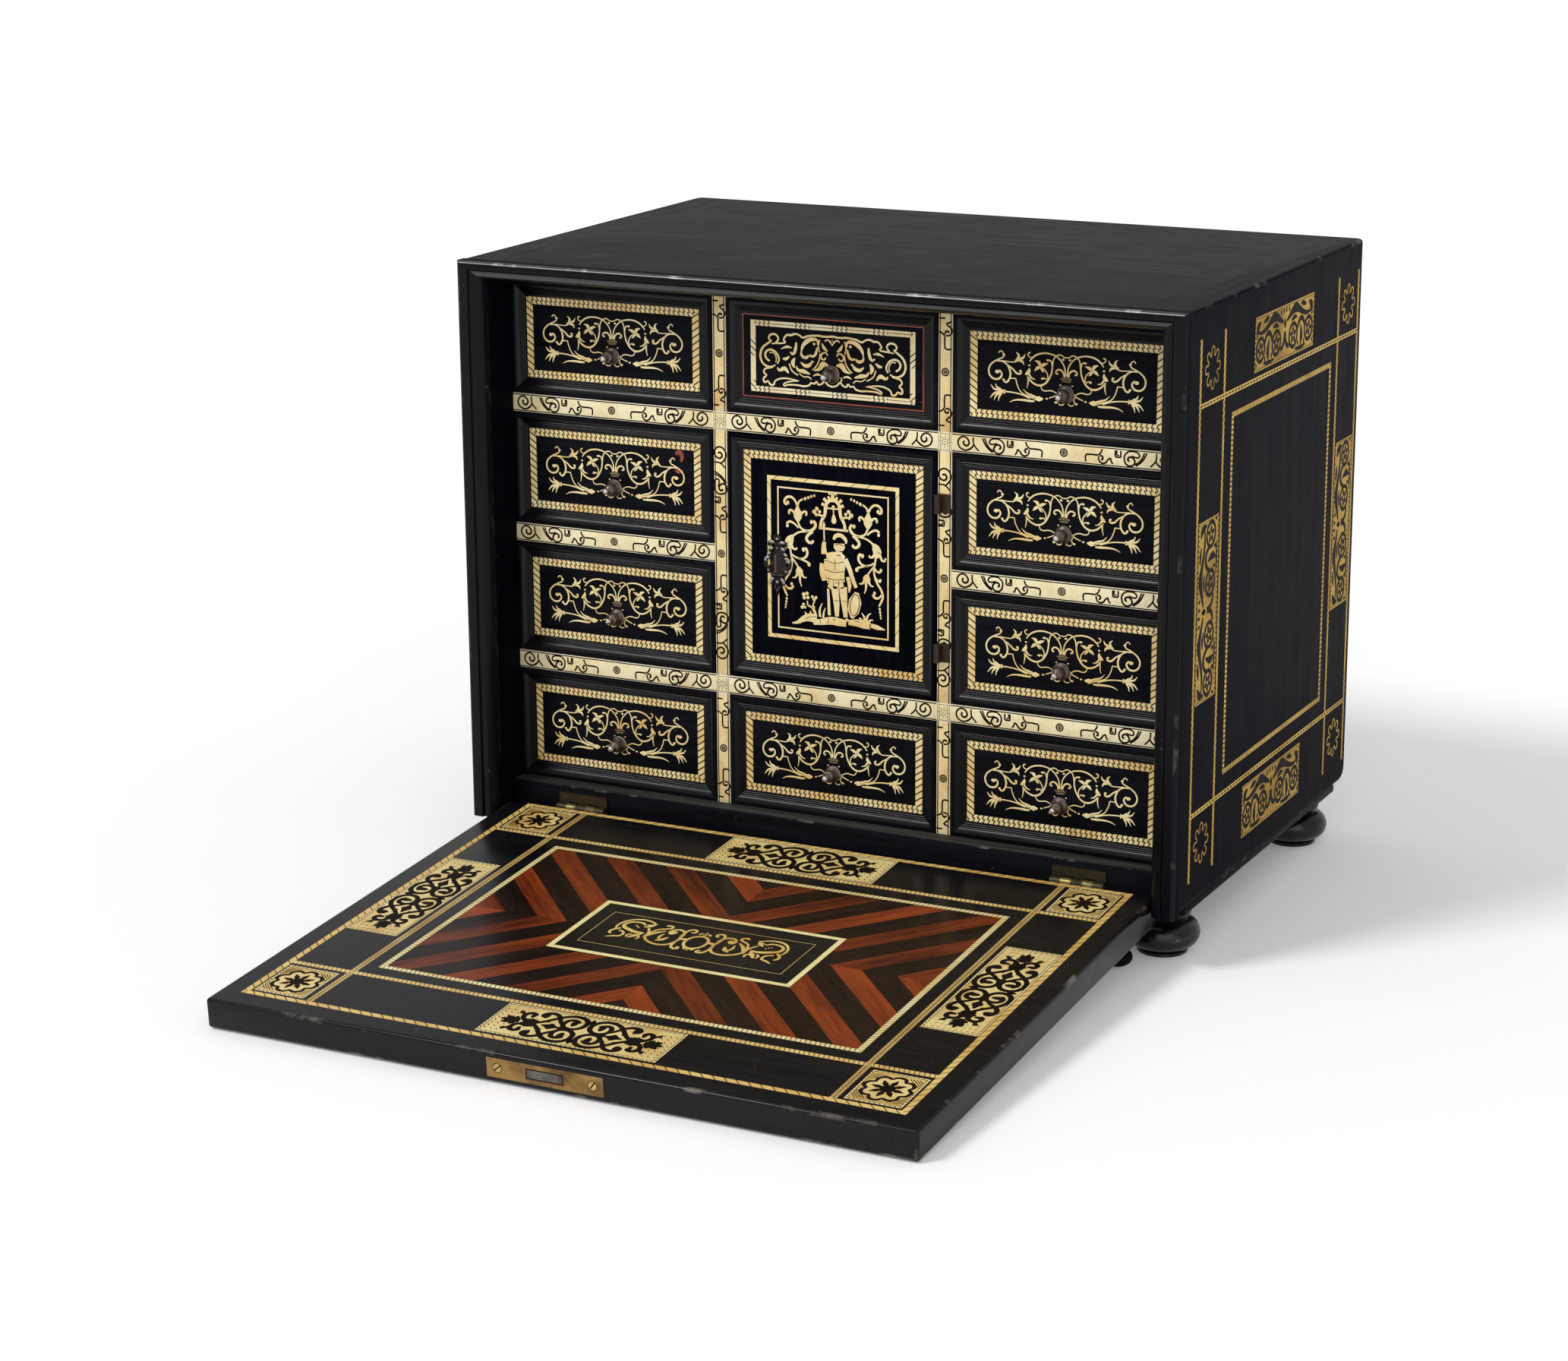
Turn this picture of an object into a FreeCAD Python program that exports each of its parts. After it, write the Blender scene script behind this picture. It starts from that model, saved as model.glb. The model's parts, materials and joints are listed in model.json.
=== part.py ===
import FreeCAD, Part
import Sketcher
import os

# Fall-front table cabinet: an ebonised case on bun feet, ten drawers round a cupboard door,
# and a drop front hinged on the sill. Modelled as it stands open, with the fall let down.
# Millimetres. X runs to the right along the front, Y runs back, Z is up.
# The origin lies on the ground under the middle of the front of the case.

SIZES = (
    ("case_width", 500, "case across the front"),
    ("case_depth", 332, "case from front to back"),
    ("case_height", 374, "case from the underside of the sides to the top"),
    ("side_board", 17.5, "thickness of the two sides"),
    ("top_board", 12, "thickness of the top"),
    ("top_lining", 4.5, "board under the top, above the upper drawers"),
    ("back_board", 8, "thickness of the back"),
    ("base_board", 6, "thickness of the board nailed underneath"),
    ("base_inset", 2, "base board in from the sides and back"),
    ("base_setback", 4, "base board behind the face of the sill"),
    ("foot_height", 30, "turned foot, ground to base board"),
    ("foot_radius", 23.5, "widest radius of a foot"),
    ("foot_bulge", 9.5, "half height of the round of a foot"),
    ("foot_pad", 16, "radius of the pad under a foot"),
    ("foot_inset_side", 24, "foot centre in from the side"),
    ("foot_inset_front", 46, "front foot centre in from the front"),
    ("foot_inset_back", 40, "rear foot centre in from the back"),
    ("moulding_depth", 10, "opening moulding, front to back"),
    ("moulding_fillet", 4.5, "flat outer member of the opening moulding"),
    ("moulding_cove", 3.3, "radius of its hollow"),
    ("moulding_bed", 5.5, "depth of its inner flat"),
    ("moulding_bead", 2.4, "radius of the bead round the opening"),
    ("front_recess", 40, "drawer faces behind the front of the case"),
    ("sill_height", 21.5, "bottom board and sill"),
    ("upright", 9.8, "thickness of the two dividers"),
    ("rail", 12.6, "thickness of the boards between drawers"),
    ("side_column", 148.8, "clear width of a side column"),
    ("facing", 2, "bone facing on dividers and rails"),
    ("facing_stand", 2.5, "bone facing in front of the drawer fields"),
    ("drawer_gap", 0.5, "running gap round a drawer"),
    ("front_board", 10, "thickness of a drawer front"),
    ("field_rise", 4, "thickness of the field on a drawer front"),
    ("reed_width", 10, "reeded moulding round a drawer field"),
    ("reed_edge", 7, "thickness of that moulding at its outer edge"),
    ("drawer_wall", 6, "drawer sides and back"),
    ("drawer_bottom", 4, "drawer bottom"),
    ("drawer_wall_drop", 12, "drawer sides lower than the front"),
    ("drawer_back_room", 10, "room behind a closed drawer"),
    ("knob_radius", 6, "foot of a drawer knob"),
    ("knob_step", 1.1, "each ring of a knob smaller than the last"),
    ("knob_groove", 1.2, "groove between the rings of a knob"),
    ("knob_length", 15, "knob out from the drawer face"),
    ("knob_drop", 8, "knob below the middle of the drawer"),
    ("fall_thick", 19, "thickness of the fall"),
    ("fall_setback", 3, "closed fall behind the front of the case"),
    ("fall_gap", 1, "fall clear of the sides"),
    ("fall_top_gap", 1, "closed fall below the top"),
    ("fall_ground_gap", 0.7, "free edge of the open fall above the ground"),
    ("hinge_height", 7.6, "fall hinge pin above the underside of the sides"),
    ("hinge_sink", 0.4, "hinge pin below the inner face of the open fall"),
    ("hinge_barrel", 3.2, "radius of a fall hinge knuckle"),
    ("hinge_pin", 1.1, "radius of a fall hinge pin"),
    ("hinge_clear", 0.2, "fall hinge knuckle clear of the wood"),
    ("hinge_leaf", 1.2, "thickness of a fall hinge leaf"),
    ("hinge_edge_leaf", 6, "hinge leaf on the edge of the fall, below the pin"),
    ("hinge_sill_leaf", 9.5, "hinge leaf on the face of the sill, above the pin"),
    ("hinge_length", 36, "length of a fall hinge"),
    ("hinge_place", 178, "middle of a fall hinge from the middle of the case"),
    ("pin_clearance", 0.05, "running clearance round every pin"),
    ("knuckle_gap", 0.2, "gap between neighbouring knuckles"),
    ("lock_width", 76, "lock plate on the edge of the fall"),
    ("lock_plate_height", 12, "lock plate across the edge"),
    ("lock_plate", 1.5, "thickness of the lock plate"),
    ("lock_case_width", 58, "fall lock case across"),
    ("lock_case_depth", 40, "fall lock case in from the plate"),
    ("lock_case_height", 10, "fall lock case through the fall"),
    ("bolt_width", 23, "fall lock bolt"),
    ("bolt_height", 5, "fall lock bolt through the fall"),
    ("bolt_length", 24, "length of the fall lock bolt"),
    ("bolt_throw", 8, "travel of the fall lock bolt"),
    ("lock_fit", 0.3, "clearance round lock parts"),
    ("screw_fit", 0.1, "clearance round screws"),
    ("lock_screw_place", 31, "lock plate screw from its middle"),
    ("screw_head", 2.7, "radius of a lock screw head"),
    ("screw_shank", 1.4, "radius of a lock screw shank"),
    ("screw_length", 11, "length of a lock screw"),
    ("key_plate_radius", 13, "outer key plate of the fall"),
    ("key_plate", 1.2, "thickness of the key plate"),
    ("key_hole", 3, "radius of the key hole"),
    ("key_place", 22, "key hole in from the free edge of the fall"),
    ("rest_radius", 10, "small turned rest under the fall"),
    ("rest_neck", 6.5, "neck of the rest"),
    ("rest_height", 22, "height of the rest"),
    ("rest_bulge", 4, "half height of the round of the rest"),
    ("rest_place", 211, "rest from the middle of the case"),
    ("rest_forward", 18, "rest in front of the hinge pin"),
    ("door_gap", 1, "gap round the cupboard door"),
    ("door_reed_side", 9.6, "moulding at the sides of the door"),
    ("door_reed_end", 10.1, "moulding at top and bottom of the door"),
    ("door_pin_out", 1.7, "door hinge pin beside the door opening"),
    ("door_pin_front", 3.7, "door hinge pin in front of the bone facing"),
    ("door_barrel", 2.2, "radius of a door hinge knuckle"),
    ("door_pin", 1, "radius of a door hinge pin"),
    ("door_leaf", 1.2, "thickness of the door hinge plate"),
    ("door_leaf_width", 8, "width of the door hinge plate"),
    ("door_edge_leaf", 0.8, "thickness of the hinge leaf on the door edge"),
    ("door_edge_leaf_depth", 9, "depth of the hinge leaf on the door edge"),
    ("door_hinge_height", 12, "height of a door hinge"),
    ("door_hinge_place", 48, "door hinge from the middle of the door"),
    ("door_lock_width", 34, "door lock case across"),
    ("door_lock_height", 30, "door lock case height"),
    ("door_lock_depth", 9, "door lock case front to back"),
    ("door_lock_inset", 2.5, "door lock case in from the edge of the door"),
    ("door_lock_drop", 4, "door lock below the middle of the door"),
    ("door_bolt_height", 8, "door lock bolt"),
    ("door_bolt_depth", 4, "door lock bolt front to back"),
    ("door_bolt_length", 20, "length of the door lock bolt"),
    ("door_bolt_throw", 8, "travel of the door lock bolt"),
    ("scutcheon_radius", 9.5, "middle of the door key plate"),
    ("scutcheon_lobe", 6, "upper and lower lobes of the door key plate"),
    ("scutcheon_reach", 15, "lobes above and below the middle"),
    ("scutcheon_plate", 1.6, "thickness of the door key plate"),
    ("scutcheon_inset", 33.9, "door key plate from the edge of the door"),
    ("keyhole_width", 3.4, "key slot of the door"),
    ("keyhole_height", 13, "height of the key slot"),
)

ROWS = 4
KNOB_RINGS = 4
FALL_KNUCKLES = 5
DOOR_KNUCKLES = 3

doc = FreeCAD.newDocument("table_cabinet")
sheet = doc.addObject("Spreadsheet::Sheet", "dims")
for line, (alias, size, meaning) in enumerate(SIZES, start=1):
    sheet.set(f"A{line}", meaning)
    sheet.set(f"B{line}", str(size))
    sheet.setAlias(f"B{line}", alias)
doc.recompute()

# Places that several pieces share, as formulas on the sheet.
back = "dims.case_depth"
half_width = "(dims.case_width / 2)"
half_inner = f"({half_width} - dims.side_board)"
inner_width = f"(2 * {half_inner})"
case_floor = "(dims.foot_height + dims.base_board)"
case_top = f"({case_floor} + dims.case_height)"
ceiling = f"({case_top} - dims.top_board)"
lining = f"({ceiling} - dims.top_lining)"
board_front = "dims.moulding_depth"
back_face = f"({back} - dims.back_board)"
face = "dims.front_recess"
bed = f"({face} + dims.field_rise)"
facing_front = f"({face} - dims.facing_stand)"
rail_front = f"({facing_front} + dims.facing)"
rail_depth = f"({back_face} - {rail_front})"
sill_top = f"({case_floor} + dims.sill_height)"
row_height = f"(({lining} - {sill_top} - {ROWS - 1} * dims.rail) / {ROWS})"
row_pitch = f"({row_height} + dims.rail)"
mid_column = f"({inner_width} - 2 * dims.side_column - 2 * dims.upright)"
mid_left = f"(-{mid_column} / 2)"
right_column = f"({half_inner} - dims.side_column)"
left_column = f"(-{half_inner})"
pin_y = "(dims.fall_setback + dims.fall_thick - dims.hinge_sink)"
pin_z = f"({case_floor} + dims.hinge_height)"
hinge_room = "(dims.hinge_barrel + dims.hinge_clear)"
sill_front = f"({pin_y} + {hinge_room})"
fall_length = f"({ceiling} - dims.fall_top_gap - {pin_z} - {hinge_room})"
fall_edge = f"(-{hinge_room} - {fall_length})"
fall_under = "(dims.hinge_sink - dims.fall_thick)"
fall_middle = "(dims.hinge_sink - dims.fall_thick / 2)"
fall_half = f"({half_inner} - dims.fall_gap)"
fall_tilt = f"asin(({pin_z} + {fall_under} - dims.fall_ground_gap) / -{fall_edge})"

UP_X = FreeCAD.Rotation(FreeCAD.Vector(0, 1, 0), 90)
UP_Y = FreeCAD.Rotation(FreeCAD.Vector(1, 0, 0), -90)
UP_FRONT = FreeCAD.Rotation(FreeCAD.Vector(1, 0, 0), 90)
UP_Z = FreeCAD.Rotation()
nodes = []


def bind(piece, formulas):
    for prop, formula in formulas.items():
        piece.setExpression(prop, formula)
    return piece


def place(piece, x, y, z):
    return bind(piece, {"Placement.Base.x": x, "Placement.Base.y": y, "Placement.Base.z": z})


def box(name, size, corner):
    piece = doc.addObject("Part::Box", name)
    bind(piece, dict(zip(("Length", "Width", "Height"), size)))
    return place(piece, *corner)


def rod(name, radius, length, start, turn):
    piece = doc.addObject("Part::Cylinder", name)
    piece.Placement = FreeCAD.Placement(FreeCAD.Vector(), turn)
    bind(piece, {"Radius": radius, "Height": length})
    return place(piece, *start)


def ring(name, middle_radius, tube_radius, centre, turn):
    piece = doc.addObject("Part::Torus", name)
    piece.Placement = FreeCAD.Placement(FreeCAD.Vector(), turn)
    bind(piece, {"Radius1": middle_radius, "Radius2": tube_radius})
    return place(piece, *centre)


def fuse(name, pieces):
    joined = doc.addObject("Part::MultiFuse", name)
    joined.Shapes = pieces
    return joined


def cut(name, base, tool):
    rest = doc.addObject("Part::Cut", name)
    rest.Base = base
    rest.Tool = tool
    return rest


def group(name, pieces):
    bundle = doc.addObject("Part::Compound", name)
    bundle.Links = pieces
    return bundle


def node(label, piece):
    piece.Label = label
    nodes.append(piece)
    return piece


def on_fall(label, pieces):
    """A piece of the fall, drawn lying level with the hinge pin as its origin, then let down."""
    piece = group(label, pieces)
    piece.Placement = FreeCAD.Placement(FreeCAD.Vector(), FreeCAD.Rotation(FreeCAD.Vector(1, 0, 0), 1))
    piece.setExpression("Placement.Rotation.Angle", fall_tilt)
    place(piece, "0", pin_y, pin_z)
    return node(label, piece)


def mitred(name, run, width, ends, edge, inner):
    """One length of moulding: X along it, Y from the long outer edge to the short inner edge."""
    piece = doc.addObject("Part::Wedge", name)
    first, last = ends
    bind(piece, {"Xmin": "0", "Xmax": run, "X2min": first, "X2max": f"{run} - {last}"})
    bind(piece, {"Ymin": "0", "Ymax": width, "Zmin": "0", "Z2min": "0", "Zmax": edge, "Z2max": inner})
    return piece


def side_turn(side):
    """Stand a length of moulding on one side of a frame: 0 bottom, 1 right, 2 top, 3 left."""
    return FreeCAD.Rotation(FreeCAD.Vector(0, 1, 0), -90 * side).multiply(UP_FRONT)


def reeding(name, width, height, x, z, reed_side, reed_end):
    """Four mitred lengths of reeded moulding, planted on a front board round its field."""
    corners = ((x, z), (f"{x} + {width}", z), (f"{x} + {width}", f"{z} + {height}"), (x, f"{z} + {height}"))
    lengths = []
    for side, (corner_x, corner_z) in enumerate(corners):
        level = side % 2 == 0
        run = width if level else height
        across = reed_end if level else reed_side
        mitre = reed_side if level else reed_end
        length = mitred(f"{name}_reeds", run, across, (mitre, mitre), "dims.reed_edge", "dims.field_rise")
        length.Placement = FreeCAD.Placement(FreeCAD.Vector(), side_turn(side))
        lengths.append(place(length, corner_x, bed, corner_z))
    return lengths


def panelled_front(name, width, height, x, z, reed_side, reed_end):
    """A front board, its field, and mouldings that rise from the field to the outer edge."""
    board = box(f"{name}_board", (width, "dims.front_board", height), (x, bed, z))
    field_size = (f"{width} - 2 * {reed_side}", "dims.field_rise", f"{height} - 2 * {reed_end}")
    field = box(f"{name}_field", field_size, (f"{x} + {reed_side}", face, f"{z} + {reed_end}"))
    return board, field, reeding(name, width, height, x, z, reed_side, reed_end)


def case_boards():
    depth = f"({back} - {board_front})"
    side_height = f"({ceiling} - {case_floor})"
    side_size = ("dims.side_board", depth, side_height)
    node("left_side", box("left_side", side_size, (f"-{half_width}", board_front, case_floor)))
    node("right_side", box("right_side", side_size, (half_inner, board_front, case_floor)))
    top_size = ("dims.case_width", depth, "dims.top_board")
    top = box("top_board", top_size, (f"-{half_width}", board_front, ceiling))
    mortise_size = ("dims.bolt_width + 2 * dims.lock_fit", "dims.bolt_height + 2 * dims.lock_fit",
                    "dims.bolt_throw - dims.fall_top_gap + dims.lock_fit")
    mortise_y = f"{pin_y} + {fall_middle} - dims.bolt_height / 2 - dims.lock_fit"
    mortise_x = "-dims.bolt_width / 2 - dims.lock_fit"
    mortise = box("bolt_mortise", mortise_size, (mortise_x, mortise_y, ceiling))
    node("top_panel", cut("top_panel", top, mortise))
    back_size = (inner_width, "dims.back_board", side_height)
    node("back_panel", box("back_panel", back_size, (f"-{half_inner}", back_face, case_floor)))
    bottom_size = (inner_width, f"{back_face} - {bed}", "dims.sill_height")
    node("bottom_panel", box("bottom_panel", bottom_size, (f"-{half_inner}", bed, case_floor)))
    sill_size = (inner_width, f"{bed} - {sill_front}", "dims.sill_height")
    node("front_sill", box("front_sill", sill_size, (f"-{half_inner}", sill_front, case_floor)))
    base_front = f"({sill_front} + dims.base_setback)"
    base_size = ("dims.case_width - 2 * dims.base_inset", f"{back} - dims.base_inset - {base_front}",
                 "dims.base_board")
    base_corner = (f"-{half_width} + dims.base_inset", base_front, "dims.foot_height")
    node("base_board", box("base_board", base_size, base_corner))


def opening_moulding():
    """Three lengths round the opening: the top one mitred at both ends, the sides at their tops."""
    side_height = f"({case_top} - {case_floor})"
    lengths = (
        ("right", side_height, "dims.side_board", ("0", "dims.top_board"), half_width, case_floor, 1),
        ("top", "dims.case_width", "dims.top_board", ("dims.side_board", "dims.side_board"),
         half_width, case_top, 2),
        ("left", side_height, "dims.side_board", ("dims.top_board", "0"), f"-{half_width}", case_top, 3),
    )
    finished = []
    for name, run, width, ends, x, z, side in lengths:
        fillet = box("fillet", (run, "dims.moulding_fillet", "dims.moulding_depth"), ("0", "0", "0"))
        flat = box("flat", (run, width, "dims.moulding_bed"), ("0", "0", "0"))
        cove_block = box("cove_block", (run, "dims.moulding_cove", "dims.moulding_cove"),
                         ("0", "dims.moulding_fillet", "dims.moulding_bed"))
        hollow_y = "dims.moulding_fillet + dims.moulding_cove"
        hollow_z = "dims.moulding_bed + dims.moulding_cove"
        hollow = rod("hollow", "dims.moulding_cove", run, ("0", hollow_y, hollow_z), UP_X)
        bead = rod("bead", "dims.moulding_bead", run,
                   ("0", f"{width} - dims.moulding_bead", "dims.moulding_bed"), UP_X)
        profile = fuse("profile", [fillet, flat, cut("cove", cove_block, hollow), bead])
        envelope = mitred("mitres", run, width, ends, "dims.moulding_depth", "dims.moulding_depth")
        length = doc.addObject("Part::Common", f"{name}_moulding")
        length.Base = profile
        length.Tool = envelope
        length.Placement = FreeCAD.Placement(FreeCAD.Vector(), side_turn(side))
        finished.append(place(length, x, board_front, z))
    node("opening_moulding", group("opening_moulding", finished))


def bun_feet():
    feet = []
    middle = "(dims.foot_height / 2)"
    for hand in (-1, 1):
        x = f"{hand} * ({half_width} - dims.foot_inset_side)"
        for y in ("dims.foot_inset_front", f"{back} - dims.foot_inset_back"):
            core = rod("foot_core", "dims.foot_pad", "dims.foot_height", (x, y, "0"), UP_Z)
            round_size = ("dims.foot_radius - dims.foot_bulge", "dims.foot_bulge")
            bun = ring("foot_round", *round_size, (x, y, middle), UP_Z)
            feet.append(fuse("bun_foot", [core, bun]))
    node("bun_feet", group("bun_feet", feet))


def dividers_and_rails():
    """Two dividers the full height of the case, boards between the drawers, and their bone facings."""
    height = f"({lining} - {sill_top})"
    divider_size = ("dims.upright", rail_depth, height)
    left_x = f"({mid_left} - dims.upright)"
    right_x = f"({mid_column} / 2)"
    left = box("left_divider_board", divider_size, (left_x, rail_front, sill_top))
    slot_size = ("dims.door_bolt_throw", "dims.door_bolt_depth + 2 * dims.lock_fit",
                 "dims.door_bolt_height + 2 * dims.lock_fit")
    slot_corner = (f"{mid_left} - dims.door_bolt_throw", f"{door_bolt_y} - dims.lock_fit",
                   f"{door_lock_z} - dims.door_bolt_height / 2 - dims.lock_fit")
    node("left_divider", cut("left_divider", left, box("bolt_slot", slot_size, slot_corner)))
    node("right_divider", box("right_divider", divider_size, (right_x, rail_front, sill_top)))
    facings = []
    for x in (left_x, right_x):
        strip = ("dims.upright", "dims.facing", height)
        facings.append(box("bone_upright", strip, (x, facing_front, sill_top)))
    rails = []
    columns = ((left_column, "dims.side_column", (1, 2, 3)), (mid_left, mid_column, (1, 3)),
               (right_column, "dims.side_column", (1, 2, 3)))
    for x, width, levels in columns:
        for level in levels:
            z = f"{sill_top} + {level} * {row_pitch} - dims.rail"
            rails.append(box("rail_board", (width, rail_depth, "dims.rail"), (x, rail_front, z)))
            facings.append(box("bone_rail", (width, "dims.facing", "dims.rail"), (x, facing_front, z)))
    lining_size = (inner_width, rail_depth, "dims.top_lining")
    rails.append(box("top_lining", lining_size, (left_column, rail_front, lining)))
    node("drawer_rails", group("drawer_rails", rails))
    node("bone_facings", group("bone_facings", facings))


def value(formula):
    return float(sheet.evalExpression(formula))


def turned(name, outline):
    """A piece turned on a lathe: a stepped outline of (radius, height) pairs spun round its axis."""
    body = doc.addObject("PartDesign::Body", name)
    sketch = body.newObject("Sketcher::SketchObject", f"{name}_outline")
    plane = next(item for item in body.Origin.OriginFeatures if item.Role == "XZ_Plane")
    sketch.AttachmentSupport = [(plane, "")]
    sketch.MapMode = "FlatFace"
    points = [FreeCAD.Vector(value(radius), value(height), 0) for radius, height in outline]
    count = len(points)
    for index in range(count):
        sketch.addGeometry(Part.LineSegment(points[index], points[(index + 1) % count]), False)
    for index in range(count):
        sketch.addConstraint(Sketcher.Constraint("Coincident", index, 2, (index + 1) % count, 1))
    for index, pair in enumerate(outline):
        for kind, axis, formula, size in zip(("DistanceX", "DistanceY"), (-2, -1), pair, points[index]):
            if formula == "0":
                sketch.addConstraint(Sketcher.Constraint("PointOnObject", index, 1, axis))
            else:
                number = sketch.addConstraint(Sketcher.Constraint(kind, -1, 1, index, 1, size))
                sketch.setExpression(f"Constraints[{number}]", formula)
    spin = body.newObject("PartDesign::Revolution", f"{name}_spin")
    spin.Profile = sketch
    spin.ReferenceAxis = (sketch, ["V_Axis"])
    spin.Angle = 360
    return body


def knob_outline():
    """A beehive of rings, each smaller than the last, with a groove between them."""
    outline = [("0", "0")]
    for number in range(KNOB_RINGS):
        radius = f"(dims.knob_radius - {number} * dims.knob_step)"
        start = f"(dims.knob_length * {number} / {KNOB_RINGS})" if number else "0"
        end = f"(dims.knob_length * {number + 1} / {KNOB_RINGS})"
        outline.append((radius, start))
        outline.append((radius, f"{end} - dims.knob_groove"))
        outline.append((f"{radius} - 2 * dims.knob_step", f"{end} - dims.knob_groove / 2"))
    outline[-1] = (outline[-1][0], end)
    outline.append(("0", end))
    return outline


def drawer(name, column_x, column_width, row):
    """A drawer: panelled front, open box of sides, back and bottom, and its knob."""
    width = f"({column_width} - 2 * dims.drawer_gap)"
    height = f"({row_height} - 2 * dims.drawer_gap)"
    x = f"({column_x} + dims.drawer_gap)"
    z = f"({sill_top} + {row} * {row_pitch} + dims.drawer_gap)"
    board, field, reeds = panelled_front(name, width, height, x, z, "dims.reed_width", "dims.reed_width")
    node(f"{name}_front", group(f"{name}_front", [board, field] + reeds))

    box_front = f"({bed} + dims.front_board)"
    length = f"({back_face} - dims.drawer_back_room - {box_front})"
    wall_height = f"({height} - dims.drawer_wall_drop)"
    inside = f"({width} - 2 * dims.drawer_wall)"
    inside_x = f"({x} + dims.drawer_wall)"
    wall_size = ("dims.drawer_wall", length, wall_height)
    walls = [
        box("drawer_left", wall_size, (x, box_front, z)),
        box("drawer_right", wall_size, (f"{inside_x} + {inside}", box_front, z)),
        box("drawer_back", (inside, "dims.drawer_wall", wall_height),
            (inside_x, f"{box_front} + {length} - dims.drawer_wall", z)),
        box("drawer_bottom", (inside, f"{length} - dims.drawer_wall", "dims.drawer_bottom"),
            (inside_x, box_front, z)),
    ]
    node(f"{name}_box", group(f"{name}_box", walls))

    knob = turned(f"{name}_knob", knob_outline())
    knob.Placement = FreeCAD.Placement(FreeCAD.Vector(), UP_FRONT)
    place(knob, f"{x} + {width} / 2", face, f"{z} + {height} / 2 - dims.knob_drop")
    node(f"{name}_knob", knob)


def fall_butt(name, x, y, z, leaf_y, leaf_z, leaf_height, own):
    """Half of a fall hinge: a leaf, the knuckles it carries, and room round those it doesn't."""
    leaf = box(f"{name}_leaf", ("dims.hinge_length", "dims.hinge_leaf", leaf_height), (x, leaf_y, leaf_z))
    pitch = f"(dims.hinge_length / {FALL_KNUCKLES})"
    length = f"{pitch} - dims.knuckle_gap"
    carried = []
    rooms = []
    for number in range(FALL_KNUCKLES):
        start = f"{x} + {number} * {pitch}"
        if number in own:
            at = (f"{start} + dims.knuckle_gap / 2", y, z)
            carried.append(rod(f"{name}_knuckle", "dims.hinge_barrel", length, at, UP_X))
        else:
            room_size = (f"{pitch} + dims.knuckle_gap", "dims.hinge_leaf", f"2 * {hinge_room}")
            at = (f"{start} - dims.knuckle_gap / 2", leaf_y, f"{z} - {hinge_room}")
            rooms.append(box(f"{name}_room", room_size, at))
    trimmed = cut(f"{name}_trimmed", leaf, fuse(f"{name}_rooms", rooms))
    bore = rod(f"{name}_bore", "dims.hinge_pin + dims.pin_clearance", "dims.hinge_length", (x, y, z), UP_X)
    return cut(f"{name}_half", fuse(f"{name}_blank", [trimmed] + carried), bore)


def fall_hinges():
    """Two brass butts, one leaf on the face of the sill and one on the edge of the fall."""
    fixed = []
    moving = []
    pins = []
    for hand in (-1, 1):
        x = f"({hand} * dims.hinge_place - dims.hinge_length / 2)"
        fixed.append(fall_butt("sill_butt", x, pin_y, pin_z, f"{sill_front} - dims.hinge_leaf", pin_z,
                               "dims.hinge_sill_leaf", (0, 2, 4)))
        moving.append(fall_butt("edge_butt", x, "0", "0", f"-{hinge_room}", "-dims.hinge_edge_leaf",
                                "dims.hinge_edge_leaf", (1, 3)))
        pins.append(rod("fall_pin", "dims.hinge_pin", "dims.hinge_length", (x, pin_y, pin_z), UP_X))
    node("fall_hinge_sill_leaves", group("fall_hinge_sill_leaves", fixed))
    on_fall("fall_hinge_edge_leaves", moving)
    node("fall_hinge_pins", group("fall_hinge_pins", pins))


def fall_rest(hand):
    x = f"{hand} * dims.rest_place"
    y = "-dims.rest_forward"
    foot = f"({fall_under} - dims.rest_height)"
    neck = rod("rest_neck", "dims.rest_neck", "dims.rest_height", (x, y, foot), UP_Z)
    bun = ring("rest_round", "dims.rest_radius - dims.rest_bulge", "dims.rest_bulge",
               (x, y, f"{foot} + dims.rest_bulge"), UP_Z)
    return fuse("rest", [neck, bun])


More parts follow.
